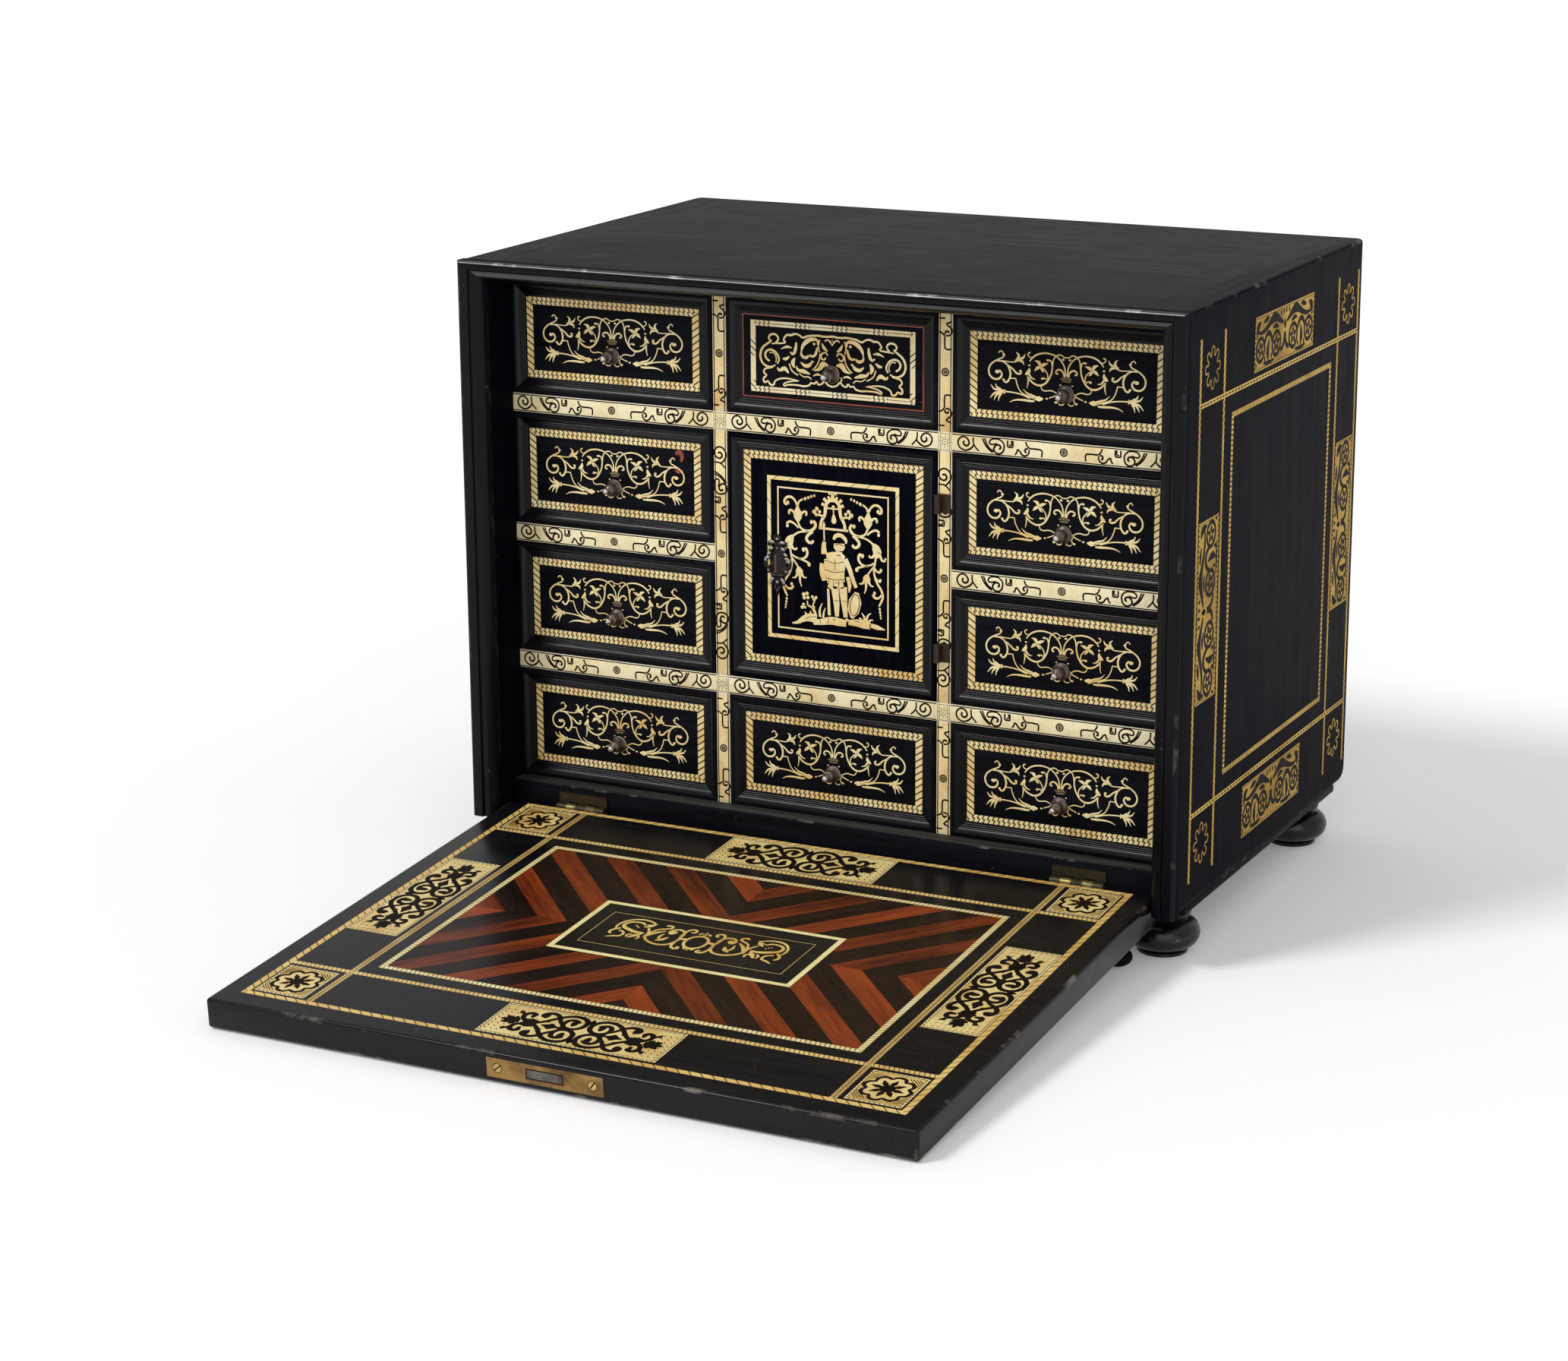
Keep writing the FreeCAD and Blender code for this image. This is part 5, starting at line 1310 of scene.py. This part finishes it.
# %% [markdown]
# ## The fall
# The drop front lies open a few degrees below level. Its own axes come from the hinge: X along the
# pin, Y back towards the case, Z out of the inner face. Everything on it is drawn flat and then laid
# on with that one matrix, so it closes with the board. Its hinge edge stays square, the others are
# rounded.

# %% Fall board
joints = {joint["name"]: joint for joint in frame["joints"]}
bolt_axis = joints["fall_bolt_slide"]["axis"]
tilt = math.atan2(-bolt_axis[2], -bolt_axis[1])
fall_axes = Matrix.Translation(joints["fall_hinge"]["pos_m"]) @ Matrix.Rotation(tilt, 4, "X")


def fall_corners(node):
    return [fall_axes.inverted() @ v.co for v in frame["nodes"][node].data.vertices]


def spread(corners):
    return [Vector([pick(c[i] for c in corners) for i in range(3)]) for pick in (min, max)]


fall_low, fall_high = spread(fall_corners("fall_panel"))
bm = workbench()
placed(bm, fall_axes, rounded_board, fall_low + Vector((0, 0.2 * MM, 0)), fall_high, 2.2 * MM, 4, 0,
       lambda middle: middle.y > fall_high.y - 0.1 * MM)
fall_wood = ebonised("fall_board", (9, 150, 210), (9, 10, 12), (21, 21, 23), 0.16, (140, 130, 116), 0.21)
finished("fall_board_polished", bm, "fall", "ebonised_wood", fall_wood, stands_for=("fall_panel",))
print("fall tilted", round(math.degrees(tilt), 2), "length", round((fall_high.y - fall_low.y) / MM, 1))


def on_fall(s=0.0, x=0.0, turn=0.0, outside=False):
    """The flat of the fall's face at a distance s in millimetres from the hinge edge."""
    face = fall_low.z if outside else fall_high.z
    spot = fall_axes @ Matrix.Translation((x * MM, fall_high.y - s * MM, face))
    spot = spot @ Matrix.Rotation(math.radians(turn), 4, "Z")
    return spot @ Matrix.Rotation(math.pi, 4, "X") if outside else spot


# %% [markdown]
# ## Lock screws
# Two domed screws hold the lock plate. Each head is spun, its slot is cut by two saw planes and pushed
# in with extrude, and a dark ring marks the gap round it. The gap round the bolt is a dark frame.

# %% Lock screws
SLOT_HALF, SLOT_DEEP = 0.42 * MM, 0.6 * MM
BOLT_GAP = 0.8 * MM


def screw(bm, radius, slot_turn):
    before = set(bm.verts)
    turned(bm, [(0, -2), (radius * 0.5, -2), (radius * 0.5, -1), (radius, -0.1), (radius, 0.15),
                (radius * 0.85, 0.45), (radius * 0.5, 0.7), (0, 0.8)], 28)
    for x in (-SLOT_HALF, SLOT_HALF):
        bmesh.ops.bisect_plane(bm, geom=attached(newer(bm, before)), dist=SAW, plane_co=(x, 0, 0),
                               plane_no=(1, 0, 0))
    middles = {f: f.calc_center_median() for v in newer(bm, before) for f in v.link_faces}
    slot = [f for f, middle in middles.items() if abs(middle.x) < SLOT_HALF and middle.z > 0.2 * MM]
    grown = bmesh.ops.extrude_face_region(bm, geom=slot)["geom"]
    bmesh.ops.delete(bm, geom=[f for f in slot if f.is_valid], context="FACES")
    bmesh.ops.translate(bm, vec=(0, 0, -SLOT_DEEP), verts=only(BMVert, grown))
    head = set(bm.faces) - set(only(BMFace, grown))
    turned(bm, [(radius - 0.05, -0.1), (radius - 0.05, 0.08), (radius + 0.4, 0.08), (radius + 0.4, -0.1),
                (radius - 0.05, -0.1)], 28)
    for face in bm.faces:
        if face not in head:
            face.material_index = 1
    bmesh.ops.rotate(bm, cent=(0, 0, 0), matrix=Matrix.Rotation(math.radians(slot_turn), 3, "Z"),
                     verts=newer(bm, before))


screws = fall_corners("fall_lock_screws")
plate_face = spread(fall_corners("fall_lock_plate"))[0].y
middle_x = sum(c.x for c in screws) / len(screws)
bm = workbench()
for side, slot_turn in ((-1, -52), (1, -38)):
    low, high = spread([c for c in screws if (c.x - middle_x) * side > 0])
    placed(bm, fall_axes @ facing(low, high, plate_face), screw, (high.x - low.x) / 2 / MM, slot_turn)
low, high = spread(fall_corners("fall_lock_bolt"))
placed(bm, fall_axes @ facing(low, high, plate_face), inlaid_frame, (high.x - low.x) / 2 + BOLT_GAP,
       (high.z - low.z) / 2 + BOLT_GAP, 0.7 * MM, 1, False, 0.05 * MM)
finished("fall_lock_screws_slotted", bm, "fall", "brass", screw_brass, ink, stands_for=("fall_lock_screws",))

# %% [markdown]
# ## Chevron field
# The middle of the fall is veneered in diagonal stripes that meet in chevrons on both centre lines.
# One quarter is a rectangle sawn by a row of parallel cuts with bisect_plane. Each red stripe is one
# strip of wood, each dark one is two, every strip has its own shade, and the quarter is mirrored
# across and along.

# %% Chevron veneer
FIELD_X, FIELD_NEAR, FIELD_FAR, FIELD_MIDDLE = 156.4, 65.1, 268.4, 168.0
SLOPE, PERIOD, DARK_JOINT, RED_FROM, RED_TO = 1.05, 46.2, 9.8, 22.0, 43.8
random.seed(7)


def veneer_quarter(bm, across, up):
    before = set(bm.verts)
    face = inlaid_rectangle(bm, across * MM / 2, up * MM / 2)
    bmesh.ops.translate(bm, vec=(across * MM / 2, up * MM / 2, 0), verts=face.verts)
    saw = Vector((-SLOPE, 1, 0)).normalized()
    for k in range(math.floor(-SLOPE * across / PERIOD) - 1, math.ceil(up / PERIOD) + 1):
        for level in (DARK_JOINT, RED_FROM, RED_TO):
            bmesh.ops.bisect_plane(bm, geom=attached(newer(bm, before)), dist=SAW,
                                   plane_co=(0, (level + k * PERIOD) * MM, 0), plane_no=saw)
    return list({f for v in newer(bm, before) for f in v.link_faces})


bm = workbench()
uv, strip = bm.loops.layers.uv["UVMap"], bm.faces.layers.float["strip"]
for side in (-1, 1):
    for reach, end in ((FIELD_MIDDLE - FIELD_NEAR, 1), (FIELD_FAR - FIELD_MIDDLE, -1)):
        before = set(bm.verts)
        for face in let_in(bm, veneer_quarter(bm, FIELD_X, reach), 0.05 * MM):
            centre = face.calc_center_median() / MM
            face.material_index = int(RED_FROM < (centre.y - SLOPE * centre.x) % PERIOD < RED_TO)
            face[strip] = random.random()
            for loop in face.loops:
                x, y = loop.vert.co.x, loop.vert.co.y
                loop[uv].uv = ((x + SLOPE * y) * 0.7, (y - SLOPE * x) * 0.7)
        new = newer(bm, before)
        bmesh.ops.scale(bm, vec=(side, end, 1), verts=new)
        bmesh.ops.transform(bm, matrix=on_fall(FIELD_MIDDLE), verts=new)
finished("chevron_field", bm, "fall", "ebonised_wood", dark_veneer, red_veneer)

# %% [markdown]
# ## Lines and panels of the fall
# Ropes of bone and dark wood frame the fall and cross in a hash, leaving four corners for rosettes
# and four long spaces for bone panels with black scrolls. In the middle of the chevrons is a black
# panel with a bone frame and a leafy bone scroll.

# %% Fall lines and middle panel
FRAME_NEAR, FRAME_FAR, FRAME_REACH, ROPE = 0.4, 334.3, 217, 4.2
LEVEL_LINES, UPRIGHT_LINES, STRAND = (48, 284.3), (-171.2, 171.2), 1.2
INNER_MIDDLE = 166.75


def fall_lines(bm, outside):
    middle, half = (FRAME_NEAR + FRAME_FAR) / 2, (FRAME_FAR - FRAME_NEAR) / 2
    across, up = (FRAME_REACH - ROPE) * MM, (half - ROPE) * MM
    place = on_fall(middle, outside=outside)
    placed(bm, place, inlaid_frame, FRAME_REACH * MM, half * MM, ROPE * MM, 0, False)
    for s in LEVEL_LINES:
        placed(bm, on_fall(s, outside=outside), inlaid_line, (-across, 0), (across, 0), 4.0 * MM, 1)
    for x in UPRIGHT_LINES:
        for strand in (-STRAND, STRAND):
            place = on_fall(middle, x + strand, outside=outside)
            placed(bm, place, inlaid_line, (0, -up), (0, up), 1.95 * MM, 2, 0.13 * MM)


bm = workbench()
fall_lines(bm, False)
placed(bm, on_fall(INNER_MIDDLE), inlaid_frame, 160.4 * MM, 105.6 * MM, 4.0 * MM, 3, False)
finished("fall_stringing", bm, "fall", "bone", rope_finish, rope_ticks, rope_twist, rope_pale)

middle_scroll = ring(0, 0, 7.1, 9.2, 1.0) + both(pen("""
0 10.6 1.2, 0 13 1.6, 0 16.2 .4
3.9 11.2 .8, 2.4 13.8
0 -10.2 1.5, 0 -12.8 .6
3.4 -9.6 .8, 2 -11.6 .7
7.6 2 1.3, 12 1.4 1.4
12.2 1.6 1, 13 8.5 .95, 12.6 14 .9, 10.4 16.6 .95, 7.5 15.6, 7.6 12.8 .9, 9.6 12.4 .7
12 .6 1, 12.2 -8 .95, 9.9 -12.6, 7 -12.8, 6.6 -10.6 .9, 8.5 -10.4 .7
12.4 3 .9, 12.6 8.5 .95, 15 12.6 1, 19.3 13.2, 22 10.4, 21.6 6.7 .9, 19 5.8 .8
19.5 8.6 2.1
12 -.6 1, 12.9 -5.2 .95, 15.6 -9.4, 21 -11.2 1, 27 -9.8, 31.7 -6.2, 34.2 -2.4 .9
19.6 .6 .7, 21.6 -3.6 1.7, 25 -6.2 .5
24.2 4.4 .5, 25 -.4 1, 23.4 -5 .6
28 16.8 1, 24.8 16.4 .9, 23.8 14.2 .8, 26 12, 30 9.8, 32.4 5.8, 33.6 1.2
27.6 16.4 1.1
25.3 8.6 .5, 30 4 1.3, 33.8 -3.6 .9
33.8 -4.2 1, 34.2 2.1 .9, 35.6 6 .8, 37.4 8.8
36 14.2 .9, 38 11.4 1.4, 41 9.4 .5
35.2 16 .6, 37.4 13.6 1.1, 40.8 13 .5
35.6 15.2 .6, 38 17.2 .75, 42.8 19.1 .85, 48.3 19.1 .9, 53.8 15.9, 57 10.4 .85, 57.5 4.9 .8, 56 1 .6
36.6 .8 1.1, 42.8 .9 1.5, 48.3 3, 52 4.9 1.4, 54 8 1.2, 53 12.2 1, 48.6 14.6 .9, 44 14.4, 41.4 12 .7
43.7 7.4 .6
45 8.8 .6
46.5 9.9 .6
37.3 -.6 .7, 40 -4 1.9, 43 -8.6 .5
38.4 -3 .7, 36.4 -6.8 .9, 37.4 -9 .4
43 -2.6 .6, 44.8 -5 1, 44.2 -8.2 .4
53.8 3 .9, 56.8 -.6 1, 57.6 -4.3 .9, 55.7 -6.6 .8
53 -.4 .7, 50 -1.4 .8, 48 -4.4 .85, 48.8 -8, 52 -9.4 .9, 56.4 -12 .4
"""))
bm = workbench()
centre = on_fall(FIELD_MIDDLE)
placed(bm, centre, inlaid_plate, 82.9 * MM, 38.9 * MM, 0, 0.08 * MM)
placed(bm, centre, inlaid_frame, 82.6 * MM, 38.6 * MM, 3.6 * MM, 1, False, 0.16 * MM)
placed(bm, centre, inlaid_frame, 69.3 * MM, 23.9 * MM, 0.4 * MM, 2, False, 0.14 * MM)
inlaid_strokes(bm, middle_scroll, centre @ Matrix.Translation((0, 0, 0.1 * MM)), finish=2)
finished("fall_middle_panel", bm, "fall", "bone", fall_wood, bone_gold, bone_amber)

# %% [markdown]
# ## Bone panels and rosettes
# The long panels are the reverse of the drawers: bone ground, black scrolls. Four volutes turn about
# the middle, their tails meet, and a palmette fills each end. The rosettes are eight-petalled, in an
# eight-lobed outline on a hatched square. A thin pale edge with fine ticks runs round each.

# %% Scrolled panels
quarter = pen("""
7.4 9.1 1.2, 9.5 12 .85, 13 12 .8, 15 8.4, 14.1 3.4, 9.5 .9, 4.5 2.7, 2 7.7 .85, 3 13.4, 6.6 16.6,
11.6 17.4 .8, 16.6 15.9, 20.9 12, 23.8 8.4 .75, 27.4 4.1, 31.5 .6 .7
9 9.1 2.2
14.9 4.1 .5, 17.6 7.3 .65, 20.2 11.3 .75, 23 14.9 .8, 26.6 16.3 .85, 30.2 15.2 .9, 31.6 12.4, 29.8 10.4 .8
29.4 12.6 1.9
38.2 1.6 .7, 41.6 5.6 .8, 42 9.1 .85, 39.9 12, 36.6 11.4, 35.6 9.4 .7
36.6 9.6 1.6
41.6 6.6 .6, 44.2 10.8, 46 12
45.8 11.6 1.1
24.5 6.6 1.15
46.6 1 .9, 48.7 4.6 .4
19.6 1 .8, 22 3.2 .3
33.6 2.4 1.2, 32.6 5.4 .3
36.4 2.6 1.1, 37.2 5 .3
34.9 0 1.4, 38 2.8 1.1, 39.6 4.4 .3
34.9 0 1.4, 31.8 2.8 1.1, 30.4 4.4 .3
34.9 0 1.4, 34.9 3.6 1.2, 34.9 6 .3
20.4 0 1.2, 20.6 2.4 1.1, 20.4 4 .3
45.8 0 1.2, 48.4 2.6, 51 4.4 .3
44.6 0 1, 44.4 3.4, 45.4 5.6 .3
""")
spine = pen("""
8 0 .5, 12.5 0 1.5, 16.6 0 .4
16 0 .4, 20 0 1.7, 26.6 0 .3
31.6 0 .8, 34.9 0 3.1, 38.4 0 .8
41 0 1.1, 45.5 0 1.9, 49 0 1.1, 53.5 0 .25
0 17 .3, 0 13 1.1, 0 10.4 .3
0 -17 .3, 0 -13 1.1, 0 -10.4 .3
""")
end_ticks = [[(x, y, 0.26), (x + 1.3, y - 1.7, 0.26)]
             for x in (-56, -52, -48, 47, 51, 55) for y in range(-14, 18, 4)]
panel_drawing = stretched(both(both(quarter, up=True)) + both(spine), 1, 1, 2.05) + end_ticks
ROSETTE_TURN, ROSETTE_DRAWN = -10, (17.4, 19.0)
rosette_ink = lobed(12, 2.8, 8, 1.25) + flower(0, 0, 10.6, 1.8, range(0, 360, 45)) + [dot(0, 0, 4.6)]
rosette_ink = moved(rosette_ink, 0, 0, ROSETTE_TURN)
rosette_band = moved(lobed(9.2, 2.6, 8, 1.9), 0, 0, ROSETTE_TURN)
hatch = [[(reach, -span, 0.3), (reach, span, 0.3)]
         for reach, span in ((15.6, 6.4), (17, 5), (18.4, 3.6), (19.8, 2.2))]
for corner in (45, 135, 225, 315):
    rosette_ink += moved(hatch, 0, 0, corner)
PLATE, EDGE = 0.12 * MM, 1.2 * MM
FALL_PANELS = ((25, 0, 0, (59, 20.2)), (307.4, 0, 0, (59, 20.2)),
               (166, -194.4, 90, (61.9, 18.1)), (166, 194.4, 90, (61.9, 18.1)))
FALL_SQUARES = [(s, x) for s in (25.2, 308.7) for x in (-194.1, 194.1)]


def fitted(drawing, halves, drawn_for):
    return stretched(drawing, halves[0] / drawn_for[0], halves[1] / drawn_for[1])


def scrolled_panel(ground, lines, place, halves, drawing, drawn_for, shade=0):
    long, short = [half * MM for half in halves]
    raised = place @ Matrix.Translation((0, 0, PLATE))
    placed(ground, place, inlaid_plate, long, short, shade, PLATE)
    placed(ground, raised, inlaid_frame, long, short, EDGE, 1, False, 0.03 * MM)
    placed(lines, raised, inlaid_frame, long - EDGE, short - EDGE, 0.35 * MM, 0, False, 0.04 * MM)
    inlaid_strokes(lines, fitted(drawing, halves, drawn_for), raised, 0.05, 0.3, 3, 0)


def rosette_square(ground, lines, place, halves):
    scrolled_panel(ground, lines, place, halves, rosette_ink, ROSETTE_DRAWN, 2)
    raised = place @ Matrix.Translation((0, 0, PLATE))
    inlaid_strokes(ground, fitted(rosette_band, halves, ROSETTE_DRAWN), raised, 0.035, 0.3, 3, 0)


def fall_panels(name, outside, drawing, *finishes):
    ground, lines = workbench(), workbench()
    for s, x, turn, halves in FALL_PANELS:
        scrolled_panel(ground, lines, on_fall(s, x, turn, outside), halves, drawing, (59, 20.4))
    for s, x in FALL_SQUARES:
        rosette_square(ground, lines, on_fall(s, x, outside=outside), (17.4, 19.4))
    finished(name + "_panels", ground, "fall", "bone", *finishes)
    finished(name + "_panel_scrolls", lines, "fall", "dark_bronze", ink)


fall_panels("fall", False, panel_drawing, bone_panel, rope_pale, bone_corner)

# %% [markdown]
# ## Leaf scroll of the sides
# The panels on the sides are closer drawn: a row of four round flowers joined by stems, with long
# leaves bowed over them. Bone shows only as thin lines between the black.

# %% Leaf scroll
inner_flower = ring(16.5, -4.8, 7.9, 7.9, 1.0) + flower(16.5, -4.8, 6.2, 1.4, (20, 92, 164, 236, 308))
outer_flower = ring(47, -4.6, 7.7, 7.7, 1.0) + flower(47, -4.6, 6, 1.35, (0, 72, 144, 216, 288))
rinceau_leaves = pen("""
8.6 -10.8 1.1, 4 -9.4 1.2, .8 -4.4, 0 0 1.6
0 9.4 .5, 0 5.6 1.6, 0 2.6 .6
2.6 14.6 1.3
8 14.2 1.3
3.2 7 .7, 9 9.4 1.3, 15 12 1.9, 21 13.4 2.5, 27.4 11.6 1.8, 36 8.2 1.3, 45 6.4 1, 54 8 .5
24.6 -2 1, 28.4 3.2 1.3, 33.6 4.4, 38 1.2 1.1, 40 -4 1
31.4 -13.8 .6, 33 -8.6 2, 32 -3.2 1.2, 30.4 .4 .4
26 -11.6 1.4
38.4 -12.4 1.4
20.6 -14.8 .6, 31 -15.6 1.1, 41 -14.6 .6
53.8 3.2 .6, 52 11 2.1, 47.4 13.8 .7
41.4 12.8 .6, 36 14.2 1.4, 31 14.8 .6
12.6 5.6 .5, 18 7.2 1.3, 23.6 6.8 .5
55 -14 1.2
""")
rinceau = stretched(both(inner_flower + rinceau_leaves + outer_flower), 1, 1, 1.4)

# %% [markdown]
# ## Outside of the fall
# The outer face isn't seen while the fall is down. When it is closed it is the front of the cabinet,
# so it is finished like the sides: rope lines, panels and rosettes round a plain black middle.

# %% Outer face of the fall
bm = workbench()
fall_lines(bm, True)
placed(bm, on_fall(INNER_MIDDLE, outside=True), inlaid_frame, 158 * MM, 104 * MM, 3.8 * MM, 3, False)
finished("fall_outer_stringing", bm, "fall", "bone", rope_side, rope_chain, rope_side, rope_notched)
fall_panels("fall_outer", True, rinceau, bone_dull, rope_notched, bone_dull)

# %% [markdown]
# ## Sides of the case
# Each side has the same scheme standing up: two upright ropes near the front and two near the back,
# two level chains, a notched border round a plain black middle, four panels and four rosette outlines.

# %% Side inlay
low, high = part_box("right_side")
FLOOR, FRONT = low.z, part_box("opening_moulding")[0].y
rosette_line = lobed(7.6, 5.2, 8, 0.66)


def on_side(side, y, z):
    x = high.x if side > 0 else -high.x
    return lying((x, FRONT + y * MM, FLOOR + z * MM), (0, side, 0), (0, 0, 1))


SIDE_ROPES, ROPE_MIDDLE, ROPE_REACH = (24.6, 65.9, 280.8, 321), 186, 169 * MM
SIDE_CHAINS, CHAIN_MIDDLE, CHAIN_REACH = (59.7, 314.4), 172.8, 148 * MM
SIDE_ROSETTES = [(y, z) for y in (45, 301) for z in (38, 335)]
SIDE_PANELS = ((174.3, 336.2, 0, (55.3, 17.2)), (174.3, 36.2, 0, (55.3, 17.3)),
               (44.8, 186, 90, (57, 17.2)), (301, 187.5, 90, (57, 17)))
for side, name in ((1, "right"), (-1, "left")):
    bm = workbench()
    for y in SIDE_ROPES:
        place = on_side(side, y, ROPE_MIDDLE)
        placed(bm, place, inlaid_line, (0, -ROPE_REACH), (0, ROPE_REACH), 3.2 * MM)
    for z in SIDE_CHAINS:
        place = on_side(side, CHAIN_MIDDLE, z)
        placed(bm, place, inlaid_line, (-CHAIN_REACH, 0), (CHAIN_REACH, 0), 3 * MM, 2, 0.12 * MM)
    placed(bm, on_side(side, 174.6, 186.8), inlaid_frame, 94.2 * MM, 114.8 * MM, 3.4 * MM, 1, False)
    finished(name + "_side_stringing", bm, "case", "bone", rope_side, rope_notched, rope_chain)
    ground, lines = workbench(), workbench()
    for y, z, turn, halves in SIDE_PANELS:
        place = on_side(side, y, z) @ Matrix.Rotation(math.radians(turn), 4, "Z")
        scrolled_panel(ground, lines, place, halves, rinceau, (57.5, 18.4))
    finished(name + "_side_panels", ground, "case", "bone", bone_dull, rope_notched)
    finished(name + "_side_panel_scrolls", lines, "case", "dark_bronze", ink)
    bm = workbench()
    for y, z in SIDE_ROSETTES:
        inlaid_strokes(bm, rosette_line, on_side(side, y, z))
    finished(name + "_side_rosettes", bm, "case", "bone", bone_dull)

# %% [markdown]
# ## Finishes for the working parts
# Hinges, lock parts, drawer boxes and inner boards are already the right shape, so they keep their
# own meshes and only get finishes.

# %% CAD parts that stay
kept = {
    wood_inside: ["left_divider", "right_divider", "drawer_rails", "bottom_panel"],
    back_wood: ["back_panel"],
    drawer_oak: [name + "_box" for name in drawers],
    brass: ["fall_lock_plate", "fall_key_plate"],
    hinge_brass: ["fall_hinge_edge_leaves", "fall_hinge_pins"],
    old_hinge: ["fall_hinge_sill_leaves"],
    steel: ["fall_lock_bolt", "door_lock_bolt", "fall_lock_case", "door_lock_case"],
    iron: ["door_hinge_plates", "door_hinge_pins", "door_hinge_leaves"],
    wood_back: ["fall_rests"],
}
for finish, nodes in kept.items():
    for node in nodes:
        slots = frame["nodes"][node].data.materials
        for i in range(len(slots)):
            slots[i] = finish
print("kept nodes", sum(len(nodes) for nodes in kept.values()))

# %% [markdown]
# ## The studio
# A white floor that runs far back, a soft sun from the left and above, a weaker, broader one from the
# right front, and an even white surrounding. Where the floor is seen it gets a little white of its own
# on top of the light it catches, so the picture's ground is white and the shadow stays.

# %% Floor, light, world
bm = bmesh.new()
bmesh.ops.create_grid(bm, x_segments=1, y_segments=1, size=30)
floor_mesh = bpy.data.meshes.new("studio_floor")
bm.to_mesh(floor_mesh)
bm.free()
f = Finish("studio_floor")
path = f.node("ShaderNodeLightPath", out="Is Camera Ray")
seen = path.either(path.beside("Is Glossy Ray")).either(path.beside("Is Transmission Ray"))
lit = f.node("ShaderNodeBsdfDiffuse", None, {"Color": tone(252, 252, 252)})
unlit = f.node("ShaderNodeEmission", None, {"Color": (0, 0, 0, 1), "Strength": 1.0})
white = f.node("ShaderNodeEmission", None, {"Color": (0.14, 0.14, 0.14, 1), "Strength": 1.0})
glow = f.node("ShaderNodeMixShader", None, {0: seen, 1: unlit, 2: white})
both_seen = f.node("ShaderNodeAddShader", None, {0: lit, 1: glow})
floor_mesh.materials.append(f.shown(both_seen))
floor = bpy.data.objects.new("studio_floor", floor_mesh)
bpy.context.scene.collection.objects.link(floor)

world = bpy.data.worlds.new("studio_surround")
bpy.context.scene.world = world
world.use_nodes = True
ground = world.node_tree.nodes["Background"]
ground.inputs["Color"].default_value = (1, 1, 1, 1)
ground.inputs["Strength"].default_value = 0.55


def soft_sun(name, place, strength, breadth):
    lamp = bpy.data.lights.new(name, "SUN")
    lamp.energy, lamp.angle = strength, math.radians(breadth)
    holder = bpy.data.objects.new(name, lamp)
    holder.location = place
    holder.rotation_euler = (AIM - Vector(place)).to_track_quat("-Z", "Y").to_euler()
    bpy.context.scene.collection.objects.link(holder)


AIM = Vector((0, 0.1, 0.2))
soft_sun("window_light", (-1.6, -2.0, 3.0), 1.35, 15)
soft_sun("front_fill", (1.6, -2.6, 1.3), 0.55, 50)
bpy.context.scene.view_settings.view_transform = "Standard"
print("studio ready")

# %% [markdown]
# ## The camera
# The viewpoint was found from the corners of the case and the fall: right of the front and above it,
# with a long lens. Its three axes are written down and make the camera's turn.

# %% Camera
camera_data = bpy.data.cameras.new("viewpoint")
camera_data.lens, camera_data.sensor_width, camera_data.sensor_fit = 81.578, 36, "HORIZONTAL"
camera_data.clip_end = 100
camera = bpy.data.objects.new("viewpoint", camera_data)
right = Vector((0.8922572, 0.4514797, -0.0065714))
up = Vector((-0.1142391, 0.2398025, 0.9640769))
away = Vector((0.4368369, -0.8594538, 0.2655422))
turn = Matrix((right, up, away)).transposed().to_4x4()
camera.matrix_world = Matrix.Translation((0.967505, -1.9331338, 0.7548077)) @ turn
bpy.context.scene.collection.objects.link(camera)
bpy.context.scene.camera = camera
print("camera at", tuple(round(v, 3) for v in camera.location))
